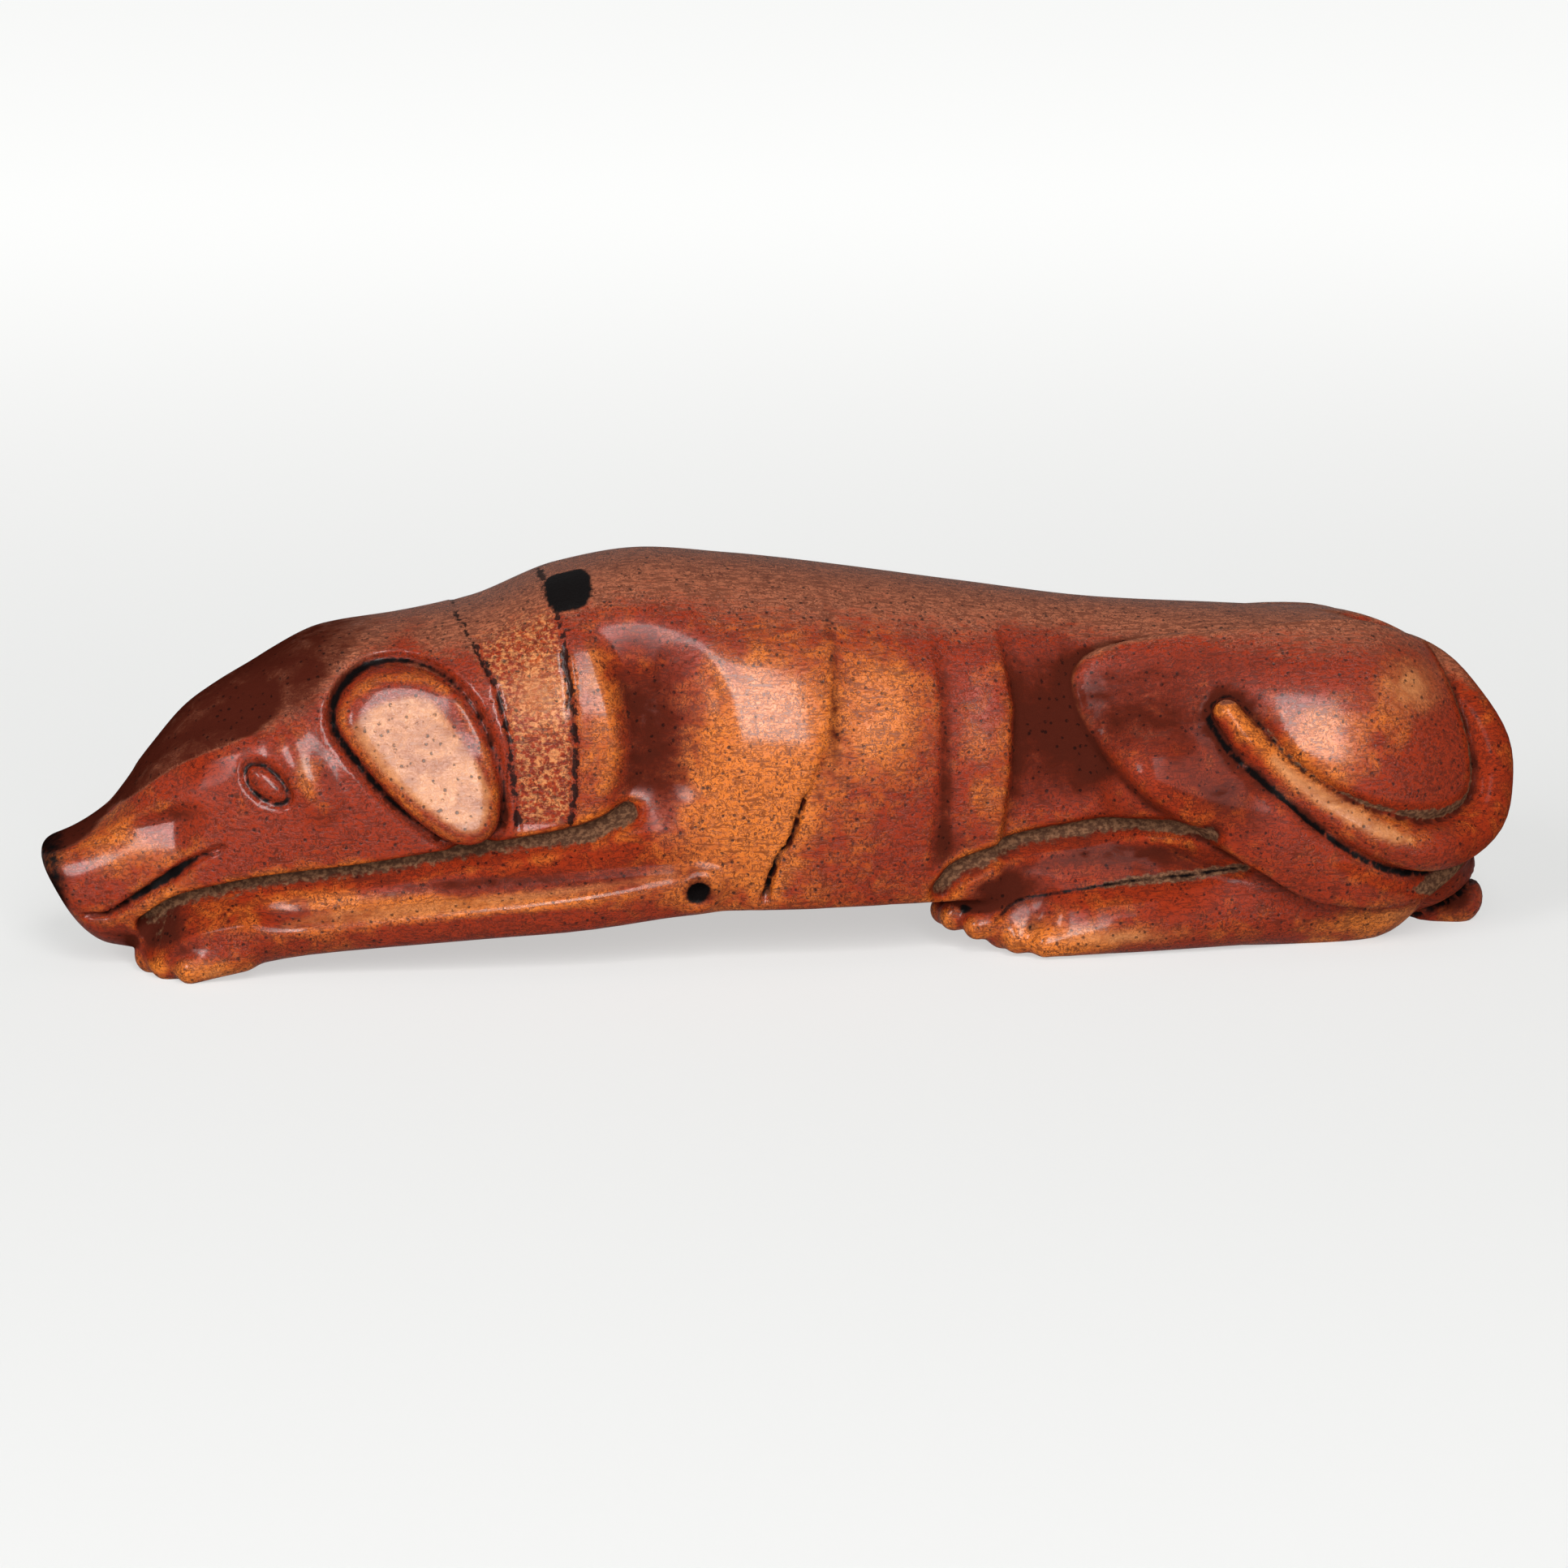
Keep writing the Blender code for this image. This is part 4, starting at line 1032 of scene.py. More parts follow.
def regridded(mesh: bpy.types.Mesh, size: float) -> bpy.types.Mesh:
    """Gives the same closed skin, meshed again on an even grid.

    Args:
        mesh: The skin.
        size: The grid's size.

    Returns:
        The new skin.
    """

    def add(holder: bpy.types.Object) -> None:
        """Adds the grid.

        Args:
            holder: The object with the skin.
        """
        remesh = holder.modifiers.new("grid", "REMESH")
        remesh.mode = "VOXEL"
        remesh.voxel_size = size

    return evaluated_copy(mesh, add)


def bend_of(mesh: bpy.types.Mesh, rounds: int) -> np.ndarray:
    """Measures how sharply a skin bends at each point, above zero where it bulges.

    Args:
        mesh: The skin.
        rounds: How often each value is averaged with its neighbours'.

    Returns:
        The bend at each point, per millimetre.
    """
    points, normals = mesh_points(mesh)
    edges = np.empty(len(mesh.edges) * 2, np.int32)
    mesh.edges.foreach_get("vertices", edges)
    first, second = edges.reshape(-1, 2).T
    run = points[second] - points[first]
    length = np.maximum((run**2).sum(axis=1), 1e-12)
    count = np.bincount(first, minlength=len(points)) + np.bincount(second, minlength=len(points))
    count = np.maximum(count, 1)

    def gathered(to_first: np.ndarray, to_second: np.ndarray) -> np.ndarray:
        """Averages what each edge gives to its two ends."""
        total = np.bincount(first, to_first, len(points)) + np.bincount(second, to_second, len(points))
        return total / count

    at_first = (run * normals[first]).sum(axis=1) / length
    at_second = -(run * normals[second]).sum(axis=1) / length
    bend = -2 * gathered(at_first, at_second)
    for _ in range(rounds):
        bend = (bend + gathered(bend[second], bend[first])) / 2
    return bend


def write_marks(mesh: bpy.types.Mesh, marks: dict[Mark, np.ndarray]) -> None:
    """Stores marks as attributes of the mesh's points.

    Args:
        mesh: The mesh.
        marks: A value for each mark at each point.
    """
    for mark, values in marks.items():
        attribute = mesh.attributes.new(mark.value, "FLOAT", "POINT")
        attribute.data.foreach_set("value", values.astype(np.float32))


class Graph:
    """A material's nodes, written as short sums."""

    def __init__(self, name: str) -> None:
        """Starts a material with a Principled shader.

        Args:
            name: The material's name.
        """
        self.material = bpy.data.materials.new(name)
        self.material.use_nodes = True
        self.tree = self.material.node_tree
        self.shader = self.tree.nodes["Principled BSDF"]

    def node(self, kind: str, **settings: object) -> bpy.types.Node:
        """Adds a node and sets its properties.

        Args:
            kind: The node's type.
            settings: The properties and their values.

        Returns:
            The node.
        """
        node = self.tree.nodes.new(kind)
        for name, value in settings.items():
            setattr(node, name, value)
        return node

    def feed(self, socket: bpy.types.NodeSocket, value: object) -> None:
        """Links a socket to another, or sets its value.

        Args:
            socket: The socket to feed.
            value: An output socket, or a value.
        """
        if isinstance(value, bpy.types.NodeSocket):
            self.tree.links.new(value, socket)
        elif isinstance(value, tuple) and socket.type == "RGBA":
            socket.default_value = (*value[:3], 1.0)
        else:
            socket.default_value = value

    def maths(self, operation: str, *values: object) -> bpy.types.NodeSocket:
        """Adds a Math node.

        Args:
            operation: What it works out.
            values: Its inputs, in order.

        Returns:
            Its output.
        """
        node = self.node("ShaderNodeMath", operation=operation)
        for socket, value in zip(node.inputs, values):
            self.feed(socket, value)
        return node.outputs[0]

    def add(self, first: object, second: object) -> bpy.types.NodeSocket:
        """Adds two values."""
        return self.maths("ADD", first, second)

    def less(self, first: object, second: object) -> bpy.types.NodeSocket:
        """Takes the second value from the first."""
        return self.maths("SUBTRACT", first, second)

    def times(self, first: object, second: object) -> bpy.types.NodeSocket:
        """Multiplies two values."""
        return self.maths("MULTIPLY", first, second)

    def most(self, first: object, second: object) -> bpy.types.NodeSocket:
        """Gives the larger of two values."""
        return self.maths("MAXIMUM", first, second)

    def swayed(self, value: object, noise: object, middle: float, amount: float) -> bpy.types.NodeSocket:
        """Adds a noise to a value, by how far it is above its middle, times the amount."""
        return self.add(value, self.times(self.less(noise, middle), amount))

    def step(self, value: object, low: float, high: float) -> bpy.types.NodeSocket:
        """Adds a soft step.

        Args:
            value: The value to step on.
            low: Where the step leaves 0.
            high: Where it reaches 1.

        Returns:
            The step, 0 to 1.
        """
        node = self.node("ShaderNodeMapRange", interpolation_type="SMOOTHSTEP")
        for name, setting in (("Value", value), ("From Min", low), ("From Max", high)):
            self.feed(node.inputs[name], setting)
        return node.outputs[0]

    def mark(self, mark: Mark) -> bpy.types.NodeSocket:
        """Reads one of the skin's marks."""
        return self.node("ShaderNodeAttribute", attribute_name=mark.value).outputs["Fac"]

    def place(self, scale: tuple, turn: tuple = (0.0, 0.0, 0.0)) -> bpy.types.NodeSocket:
        """Gives the place on the object, turned and scaled, one unit to a millimetre before the scale.

        Args:
            scale: How many units a millimetre becomes each way.
            turn: The turn about x, y and z in radians.

        Returns:
            The place.
        """
        mapping = self.node("ShaderNodeMapping")
        self.feed(mapping.inputs["Vector"], self.node("ShaderNodeTexCoord").outputs["Object"])
        self.feed(mapping.inputs["Scale"], tuple(value / MILLIMETRE for value in scale))
        self.feed(mapping.inputs["Rotation"], turn)
        return mapping.outputs[0]

    def noise(
        self, scale: tuple, detail: float, rough: float, twist: float = 0.0, turn: tuple = (0.0, 0.0, 0.0)
    ) -> bpy.types.NodeSocket:
        """Adds a noise.

        Args:
            scale: The features in a millimetre along x, y and z.
            detail: How many finer layers it has.
            rough: How strong the finer layers are.
            twist: How far it is distorted.
            turn: The turn about x, y and z in radians.

        Returns:
            The noise, about 0 to 1.
        """
        node = self.node("ShaderNodeTexNoise")
        place = self.place(scale, turn)
        settings = {"Vector": place, "Scale": 1.0, "Detail": detail, "Roughness": rough, "Distortion": twist}
        for name, value in settings.items():
            self.feed(node.inputs[name], value)
        return node.outputs["Fac"]

    def cells(self, scale: tuple) -> bpy.types.NodeSocket:
        """Adds a cell pattern.

        Args:
            scale: The cells in a millimetre along x, y and z.

        Returns:
            The distance to the nearest cell's middle.
        """
        node = self.node("ShaderNodeTexVoronoi")
        self.feed(node.inputs["Vector"], self.place(scale))
        self.feed(node.inputs["Scale"], 1.0)
        return node.outputs["Distance"]

    def bump(self, height: bpy.types.NodeSocket, strength: float, distance: float) -> bpy.types.NodeSocket:
        """Turns a height into bumps.

        Args:
            height: The height.
            strength: How strong the bumps are.
            distance: How high they are, in metres.

        Returns:
            The normal.
        """
        node = self.node("ShaderNodeBump")
        for name, value in (("Height", height), ("Strength", strength), ("Distance", distance)):
            self.feed(node.inputs[name], value)
        return node.outputs[0]

    def mix(self, share: object, first: object, second: object) -> bpy.types.NodeSocket:
        """Mixes two colours.

        Args:
            share: How much of the second colour there is.
            first: The first colour.
            second: The second colour.

        Returns:
            The mixed colour.
        """
        node = self.node("ShaderNodeMix", data_type="RGBA")
        # The node has sockets for other kinds of value too, and 6 and 7 are its colours
        self.feed(node.inputs[0], share)
        self.feed(node.inputs[6], first)
        self.feed(node.inputs[7], second)
        return node.outputs[2]

    def set(self, **inputs: object) -> None:
        """Feeds the shader's sockets, named with underscores for spaces."""
        for name, value in inputs.items():
            self.feed(self.shader.inputs[name.replace("_", " ")], value)


@dataclass(frozen=True)
class StainedWoodWithPaintedLight:
    """Old stained and polished wood, with dust in its cuts and golden where hands have worn it; its darker
    hollows are painted shade, and some golden and pale places are painted highlights.
    """

    red: Colour = (0.225, 0.021, 0.005)
    # The dark of the grain's flecks and of the painted shade
    deep: Colour = (0.050, 0.009, 0.005)
    # Golden wood, also the colour of the painted highlights
    gold_and_highlight: Colour = (0.53, 0.135, 0.018)
    # The pale colours of the painted highlights
    pale: Colour = (0.28, 0.085, 0.026)
    highlight_bright: Colour = (0.46, 0.18, 0.065)
    # Patina with a painted sheen, for the faces that look up
    patina_sheen_and_shade: Colour = (0.33, 0.105, 0.052)
    wax: Colour = (0.060, 0.027, 0.016)
    # Near black, for the dark lines, the specks, and the painted shade in gaps
    ink_and_shade: Colour = (0.004, 0.003, 0.003)
    bare: Colour = (0.17, 0.080, 0.042)
    band: Colour = (0.62, 0.25, 0.08)
    raw: Colour = (0.16, 0.075, 0.030)
    raw_dark: Colour = (0.09, 0.040, 0.016)

    def material(self) -> bpy.types.Material:
        """Builds the wood's nodes.

        Returns:
            The finish.
        """
        g = Graph("stained_wood")
        broad = g.noise((0.11, 0.11, 0.11), 3.0, 0.55)
        cloud = g.noise((0.42, 0.5, 0.5), 4.0, 0.6, 0.6)
        fine = g.noise((2.4, 2.8, 2.8), 4.0, 0.65)
        streak = g.noise((0.7, 4.2, 4.2), 3.0, 0.65, 0.9)
        cross = g.noise((2.6, 2.6, 1.7), 3.0, 0.65, 2.2, (0.4, 0.5, 0.3))
        grain = g.noise((2.2, 3.0, 3.0), 4.0, 0.75, 1.2, (0.2, 0.3, 0.1))
        ragged = g.less(g.noise((1.6, 1.6, 1.6), 4.0, 0.6), 0.5)

        # Golden worn wood and painted highlights
        gold_and_highlight = g.add(g.mark(Mark.GOLD_AND_HIGHLIGHT), g.times(g.mark(Mark.WEAR_AND_HIGHLIGHT), 0.7))
        gold_and_highlight = g.swayed(g.swayed(gold_and_highlight, cloud, 0.5, 1.6), broad, 0.45, 0.9)
        colour = g.mix(g.step(gold_and_highlight, 0.12, 1.15), self.red, self.gold_and_highlight)
        band = g.times(g.mark(Mark.BAND), g.step(fine, 0.42, 0.62))
        colour = g.mix(g.times(band, 0.7), colour, self.band)
        # Painted highlights
        colour = g.mix(g.mark(Mark.PALE_HIGHLIGHT), colour, g.mix(g.step(cloud, 0.35, 0.65), self.pale, self.highlight_bright))
        # Patina with a painted sheen on the upward faces, darkened on the head by the painted shade
        patina_sheen_and_shade = g.swayed(g.swayed(g.mark(Mark.PATINA_SHEEN_AND_SHADE), cloud, 0.5, 0.7), streak, 0.5, 1.2)
        colour = g.mix(g.step(patina_sheen_and_shade, 0.25, 0.95), colour, self.patina_sheen_and_shade)
        # Painted shade: hollows and the shade patches are darkened, with a random cloud of darker wood
        painted_shade_and_stain = g.add(g.times(g.mark(Mark.PAINTED_SHADE_AND_STAIN), 1.3), g.less(0.42, cloud))
        colour = g.mix(g.step(painted_shade_and_stain, 0.1, 1.0), colour, self.deep)

        flecks = g.step(g.add(streak, g.times(g.mark(Mark.PATINA_SHEEN_AND_SHADE), 0.05)), 0.53, 0.61)
        threads = g.times(g.step(cross, 0.54, 0.59), g.step(cloud, 0.36, 0.55))
        dark = g.most(g.times(flecks, 0.75), g.times(threads, 0.9))
        dark = g.most(dark, g.times(g.step(grain, 0.49, 0.61), 0.75))
        dark = g.times(dark, g.less(1.0, g.times(g.mark(Mark.PALE_HIGHLIGHT), 0.7)))
        colour = g.mix(g.times(dark, 0.9), colour, self.deep)
        dots = g.times(g.step(g.cells((1.5, 1.5, 1.5)), 0.28, 0.16), g.step(fine, 0.46, 0.52))
        colour = g.mix(g.times(dots, 0.75), colour, self.ink_and_shade)

        wax = g.step(g.add(g.mark(Mark.WAX), g.times(ragged, 0.9)), 0.0, 0.22)
        colour = g.mix(wax, colour, g.mix(g.step(fine, 0.4, 0.65), self.wax, self.bare))
        # Dark lines, some of them painted shade in gaps and along the tail
        ink_and_shade = g.step(g.add(g.mark(Mark.INK_AND_SHADE), g.times(ragged, 0.45)), -0.08, 0.14)
        broken = g.step(g.add(g.mark(Mark.BROKEN), g.times(ragged, 1.5)), 0.0, 0.15)
        # Black patches, and painted shade at the far heel
        black_and_shade = g.step(g.add(g.mark(Mark.BLACK_AND_SHADE), g.times(ragged, 0.6)), 0.35, 0.8)
        ink_and_shade = g.most(g.most(ink_and_shade, g.times(broken, 0.9)), black_and_shade)
        colour = g.mix(ink_and_shade, colour, self.ink_and_shade)
        raw = g.mix(g.step(streak, 0.4, 0.65), self.raw, self.raw_dark)
        colour = g.mix(g.mark(Mark.INSIDE), colour, raw)

        dull = g.most(wax, g.most(g.times(ink_and_shade, 0.6), g.mark(Mark.INSIDE)))
        dull = g.most(dull, g.step(painted_shade_and_stain, 0.1, 0.9))
        dull = g.most(dull, g.times(g.step(g.mark(Mark.WAX), -1.0, -0.3), 0.9))
        shine = g.less(1.0, dull)
        coat = g.times(shine, g.less(0.25, g.times(g.mark(Mark.PALE_HIGHLIGHT), 0.13)))
        rough = g.add(g.add(0.22, g.times(g.step(fine, 0.35, 0.7), 0.14)), g.times(dull, 0.4))
        height = g.less(g.less(g.times(fine, 0.35), g.times(dark, 0.5)), g.times(dots, 0.6))
        g.set(Base_Color=colour, Roughness=rough, Normal=g.bump(height, 0.45, 0.00012))
        g.set(Coat_Weight=coat, Coat_Roughness=0.13, Specular_IOR_Level=g.times(shine, 0.17))
        return g.material


@dataclass(frozen=True)
class LidWood:
    """Plainer stained wood with a straight grain, for the lid under the belly."""

    light: Colour = (0.22, 0.055, 0.015)
    dark: Colour = (0.08, 0.020, 0.008)
    pore: Colour = (0.03, 0.012, 0.008)

    def material(self) -> bpy.types.Material:
        """Builds the wood's nodes.

        Returns:
            The finish.
        """
        g = Graph("lid_wood")
        grain = g.noise((0.12, 2.6, 1.2), 5.0, 0.6, 0.8)
        cloud = g.noise((0.3, 0.4, 0.4), 3.0, 0.5)
        pores = g.step(g.noise((0.8, 5.0, 5.0), 2.0, 0.5), 0.6, 0.68)
        colour = g.mix(g.step(grain, 0.35, 0.68), self.light, self.dark)
        colour = g.mix(g.times(g.step(cloud, 0.45, 0.7), 0.5), colour, self.dark)
        colour = g.mix(g.times(pores, 0.7), colour, self.pore)
        rough = g.add(0.36, g.times(grain, 0.15))
        g.set(Base_Color=colour, Roughness=rough, Normal=g.bump(g.less(grain, pores), 0.3, 0.0001))
        return g.material


@dataclass(frozen=True)
class SnuffBox:
    """The box: the hound's body with its hollow, and the lid that closes it. Sizes are in millimetres."""

    middle: tuple = (0.8, -0.4)
    belly: float = 4.6
    wall: float = 3.8
    chest_half_width: float = 14.2
    hollow_length: float = 46.0
    hollow_height: float = 18.0
    hollow_place: tuple = (-2.0, 0.2, 16.5)
    mouth_height: float = 8.5
    lid_place: tuple = (-7.0, 0.0)
    lid_length: float = 40.0
    lid_width: float = 17.5
    lid_thickness: float = 2.1
    lid_edge: float = 0.4
    plug_depth: float = 1.6
    # How far above the lid's face the plug starts, inside the disc
    plug_sunk: float = 1.0
    ledge: float = 1.7
    clearance: float = 0.3
    nail_notch: float = 2.2
    notch_depth: float = 0.8
    hound: Hound = Hound()
    carver: Carver = Carver()

    def oval(self, name: str, length: float, width: float, low: float, high: float) -> bpy.types.Object:
        """Makes an oval disc at the lid's place, its long axis along x.

        Args:
            name: The disc's name.
            length: Its length.
            width: Its width.
            low: The height of its underside.
            high: The height of its top.

        Returns:
            The disc.
        """
        disc = bmesh.new()
        bmesh.ops.create_cone(
            disc, cap_ends=True, segments=128, radius1=0.5, radius2=0.5, depth=1.0,
            matrix=Matrix.Diagonal((length, width, high - low, 1.0)),
        )
        bmesh.ops.translate(disc, verts=disc.verts, vec=(*self.lid_place, (low + high) / 2))
        return added(name, disc)

    def ball(self, name: str, size: tuple, place: tuple) -> bpy.types.Object:
        """Makes an egg-shaped solid about its place.

        Args:
            name: The solid's name.
            size: Its sizes along x, y and z.
            place: Its middle.

        Returns:
            The solid.
        """
        shape = bmesh.new()
        bmesh.ops.create_uvsphere(
            shape, u_segments=96, v_segments=48, radius=0.5, matrix=Matrix.Diagonal((*size, 1.0))
        )
        bmesh.ops.translate(shape, verts=shape.verts, vec=place)
        return added(name, shape)

    def settled(self, mesh: bpy.types.Mesh) -> None:
        """Brings a mesh from the figure's millimetres to its place in the frame, in metres."""
        mesh.transform(
            Matrix.Scale(MILLIMETRE, 4) @ Matrix.Translation((-self.middle[0], -self.middle[1], 0.0))
        )

    def flatten_soles(self, mesh: bpy.types.Mesh) -> None:
        """Cuts the paws and feet off level with the floor.

        Args:
            mesh: The hound's skin.
        """
        skin = bmesh.new()
        skin.from_mesh(mesh)
        cut = bmesh.ops.bisect_plane(
            skin, geom=[*skin.verts, *skin.edges, *skin.faces], dist=1e-4, plane_co=(0, 0, 0),
            plane_no=(0, 0, -1), clear_outer=True,
        )
        edges = [item for item in cut["geom_cut"] if isinstance(item, bmesh.types.BMEdge)]
        bmesh.ops.edgenet_fill(skin, edges=edges)
        bmesh.ops.recalc_face_normals(skin, faces=skin.faces)
        skin.to_mesh(mesh)
        skin.free()

    def body(self) -> bpy.types.Object:
        """Makes the hound, hollowed from below.

        Returns:
            The piece.
        """
        mesh = self.carver.carve(self.hound.field)
        points, _ = mesh_points(mesh)
        x, y, z = points.T
        # The head and foreleg, the hind feet and the crisp cuts get a finer skin
        wanted = (x < -12.0) & (y < 1.0) & (z < 26.0)
        wanted = wanted | (x > 10.0) & (x < 40.0) & (y < 0.0) & (z < 11.0)
        wanted = wanted | (self.hound.cuts_near(points) < 0.8)
        self.carver.refine(mesh, wanted)
        self.carver.draw_in(mesh, self.hound.field, 0.3, keeps_even=True)
        log.info("hound skin: %d points", len(mesh.vertices))
        self.flatten_soles(mesh)
        rim = self.belly + self.lid_thickness + self.clearance
        spare = 2 * self.clearance
        shrink = 2 * self.ledge
        width = 2 * (self.chest_half_width - self.wall)
        roof = self.belly + self.mouth_height
        cutters = (
            self.ball("hollow", (self.hollow_length, width, self.hollow_height), self.hollow_place),
            self.oval("mouth", self.lid_length - shrink, self.lid_width - shrink, self.belly, roof),
            self.oval("rebate", self.lid_length + spare, self.lid_width + spare, -1.0, rim),
        )
        mesh = cut_from(mesh, cutters, "DIFFERENCE")
        points, normals = mesh_points(mesh)
        bend = bend_of(mesh, 10)
        write_marks(mesh, self.hound.marks(points, normals, bend))
        self.settled(mesh)
        mesh.shade_smooth()
        return finished("carved_hound", mesh, StainedWoodWithPaintedLight().material(), "hound")

    def lid(self) -> bpy.types.Object:
        """Makes the oval plug lid, with a notch for a fingernail.

        Returns:
            The piece.
        """
        top = self.belly + self.lid_thickness
        play = 2 * (self.ledge + self.clearance)
        length, width = self.lid_length - play, self.lid_width - play
        disc = self.oval("disc", self.lid_length, self.lid_width, self.belly, top)
        plug = self.oval("plug", length, width, self.belly + self.plug_sunk, top + self.plug_depth)
        notch_size = (2 * self.nail_notch, 3 * self.nail_notch, 2 * self.notch_depth)
        notch_place = (self.lid_place[0] + self.lid_length / 2 - self.ledge, self.lid_place[1], self.belly)
        notch = self.ball("notch", notch_size, notch_place)

        def add(holder: bpy.types.Object) -> None:
            """Rounds the disc's worn edges.

            Args:
                holder: The object with the disc.
            """
            edge = holder.modifiers.new("worn edge", "BEVEL")
            edge.width = self.lid_edge
            edge.segments = 4
            edge.limit_method = "ANGLE"

        mesh = evaluated_copy(disc.data, add)
        bpy.data.objects.remove(disc)
        mesh = cut_from(mesh, (plug,), "UNION")
        mesh = cut_from(mesh, (notch,), "DIFFERENCE")
        self.settled(mesh)
        return finished("plug_lid", mesh, LidWood().material(), "lid")


def added(name: str, shape: bmesh.types.BMesh) -> bpy.types.Object:
    """Turns a bmesh into an object.

    Args:
        name: The object's name.
        shape: The bmesh, which is freed.

    Returns:
        The object.
    """
    mesh = bpy.data.meshes.new(name)
    shape.to_mesh(mesh)
    shape.free()
    item = bpy.data.objects.new(name, mesh)
    bpy.context.scene.collection.objects.link(item)
    return item


def cut_from(mesh: bpy.types.Mesh, tools: tuple, operation: str) -> bpy.types.Mesh:
    """Cuts tools from a mesh, or joins them on, and removes them.

    Args:
        mesh: The mesh to work on.
        tools: The objects to cut or join with.
        operation: The Boolean operation's name.

    Returns:
        The new mesh.
    """

    def add(holder: bpy.types.Object) -> None:
        """Adds one Boolean for each tool.

        Args:
            holder: The object with the mesh.
        """
        for tool in tools:
            cut = holder.modifiers.new(tool.name, "BOOLEAN")
            cut.operation = operation
            cut.object = tool
            cut.solver = "EXACT"

    result = evaluated_copy(mesh, add)
    for tool in tools:
        bpy.data.objects.remove(tool)
    return result


def finished(
    name: str, mesh: bpy.types.Mesh, material: bpy.types.Material, node: str
) -> bpy.types.Object:
    """Adds a finished piece to the box.

    Args:
        name: The piece's name.
        mesh: Its mesh, in place.
        material: Its finish.
        node: The frame's node that it stands for.

    Returns:
        The piece.
    """
    mesh.materials.clear()
    mesh.materials.append(material)
    mesh.name = name
    piece = bpy.data.objects.new(name, mesh)
    bpy.context.scene.collection.objects.link(piece)
    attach(piece, "root")
    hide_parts(node)
    mesh.calc_loop_triangles()
    log.info("%s: %d triangles", name, len(mesh.loop_triangles))
    return piece


@dataclass(frozen=True)
class Softbox:
    """One soft light: the way to it from the box in degrees, its distance and size in metres, its power.

    A light that doesn't fill is only seen in polished wood, and one that doesn't glint is never seen in it.
    """

    name: str
    azimuth: float
    elevation: float
    distance: float
    size: tuple
    power: float
    fills: bool = True
    glints: bool = True


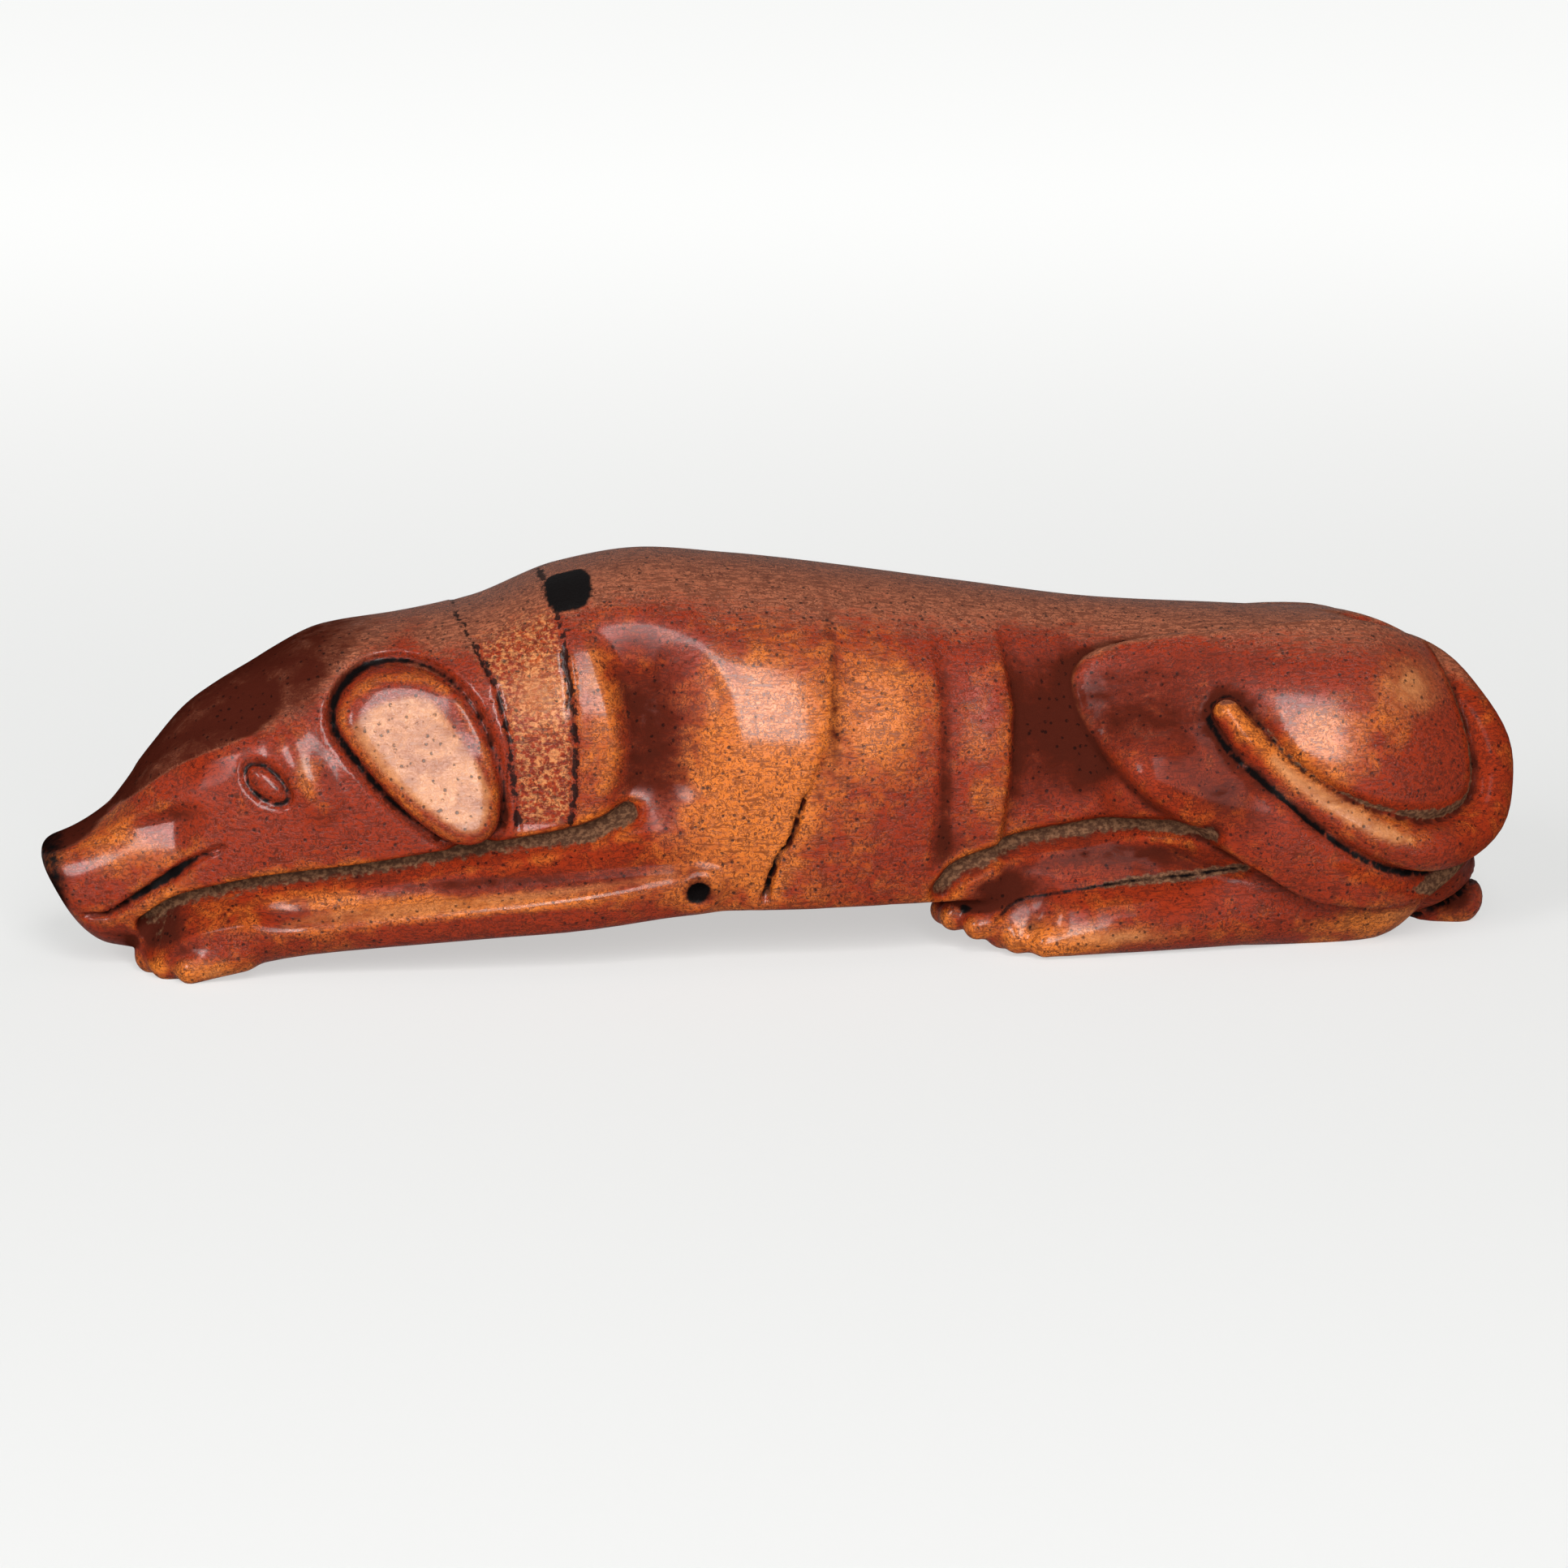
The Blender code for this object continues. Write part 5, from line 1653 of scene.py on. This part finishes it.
@dataclass(frozen=True)
class Studio:
    """The pale floor, the soft lights and the camera."""

    target: tuple = (0.0004, 0.0004, 0.0122)
    azimuth: float = -7.0
    elevation: float = 12.5
    distance: float = 0.427
    lens: float = 120.0
    sensor: float = 36.0
    floor_half: float = 6.0
    floor_colour: Colour = (0.33, 0.33, 0.325)
    floor_glow: Colour = (0.96, 0.965, 0.955)
    world_strength: float = 0.14
    softboxes: tuple = (
        Softbox("key", 3.0, 29.0, 0.9, (0.27, 0.62), 8.5),
        Softbox("key glint", 3.0, 29.0, 0.9, (0.27, 0.62), 6.0, fills=False),
        Softbox("side", -38.0, 27.0, 0.9, (0.26, 0.46), 5.0, glints=False),
        Softbox("side glint", -38.0, 25.0, 0.9, (0.17, 0.28), 2.9, fills=False),
        Softbox("top", 20.0, 80.0, 1.6, (1.4, 1.4), 2.0, glints=False),
    )

    @staticmethod
    def way(azimuth: float, elevation: float) -> Vector:
        """Gives the unit vector to an azimuth from the front and an elevation, in degrees."""
        turn, lift = np.radians(azimuth), np.radians(elevation)
        return Vector((np.sin(turn) * np.cos(lift), -np.cos(turn) * np.cos(lift), np.sin(lift)))

    def floor(self) -> None:
        """Lays the floor."""
        sheet = bmesh.new()
        bmesh.ops.create_grid(sheet, x_segments=1, y_segments=1, size=self.floor_half)
        floor = added("floor", sheet)
        g = Graph("pale_floor")
        split = g.node("ShaderNodeSeparateXYZ")
        g.feed(split.inputs[0], g.node("ShaderNodeTexCoord").outputs["Object"])
        # Painted glow: the floor shines, more towards the back, which lightens the shadows on it
        glow = g.add(0.52, g.times(g.step(split.outputs["Y"], -0.1, 0.6), 0.37))
        g.set(Base_Color=self.floor_colour, Roughness=0.9, Specular_IOR_Level=0.1)
        g.set(Emission_Color=self.floor_glow, Emission_Strength=glow)
        floor.data.materials.append(g.material)
        floor.visible_glossy = False

    def lights(self) -> None:
        """Hangs the softboxes and whitens the surroundings."""
        for box in self.softboxes:
            data = bpy.data.lights.new(box.name, "AREA")
            data.shape = "RECTANGLE"
            data.size, data.size_y = box.size
            data.energy = box.power
            light = bpy.data.objects.new(box.name, data)
            light.visible_diffuse = box.fills
            light.visible_glossy = box.glints
            way = self.way(box.azimuth, box.elevation)
            light.location = Vector(self.target) + way * box.distance
            light.rotation_euler = way.to_track_quat("Z", "Y").to_euler()
            bpy.context.scene.collection.objects.link(light)
        world = bpy.data.worlds.new("studio")
        world.use_nodes = True
        sky = world.node_tree.nodes["Background"]
        sky.inputs["Color"].default_value = (1.0, 1.0, 1.0, 1.0)
        path = world.node_tree.nodes.new("ShaderNodeLightPath")
        seen = world.node_tree.nodes.new("ShaderNodeMapRange")
        seen.inputs["To Min"].default_value = self.world_strength
        seen.inputs["To Max"].default_value = 0.96
        world.node_tree.links.new(path.outputs["Is Camera Ray"], seen.inputs["Value"])
        world.node_tree.links.new(seen.outputs[0], sky.inputs["Strength"])
        bpy.context.scene.world = world

    def camera(self) -> None:
        """Sets the camera up as the photograph's."""
        data = bpy.data.cameras.new("camera")
        data.lens = self.lens
        data.sensor_width = self.sensor
        camera = bpy.data.objects.new("camera", data)
        way = self.way(self.azimuth, self.elevation)
        camera.location = Vector(self.target) + way * self.distance
        camera.rotation_euler = way.to_track_quat("Z", "Y").to_euler()
        bpy.context.scene.collection.objects.link(camera)
        bpy.context.scene.camera = camera
        bpy.context.scene.view_settings.view_transform = "Standard"


def main() -> None:
    """Builds the box and the studio."""
    logging.basicConfig(level=logging.INFO, format="%(message)s")
    box = SnuffBox()
    box.body()
    box.lid()
    studio = Studio()
    studio.floor()
    studio.lights()
    studio.camera()


if __name__ == "__main__":
    main()
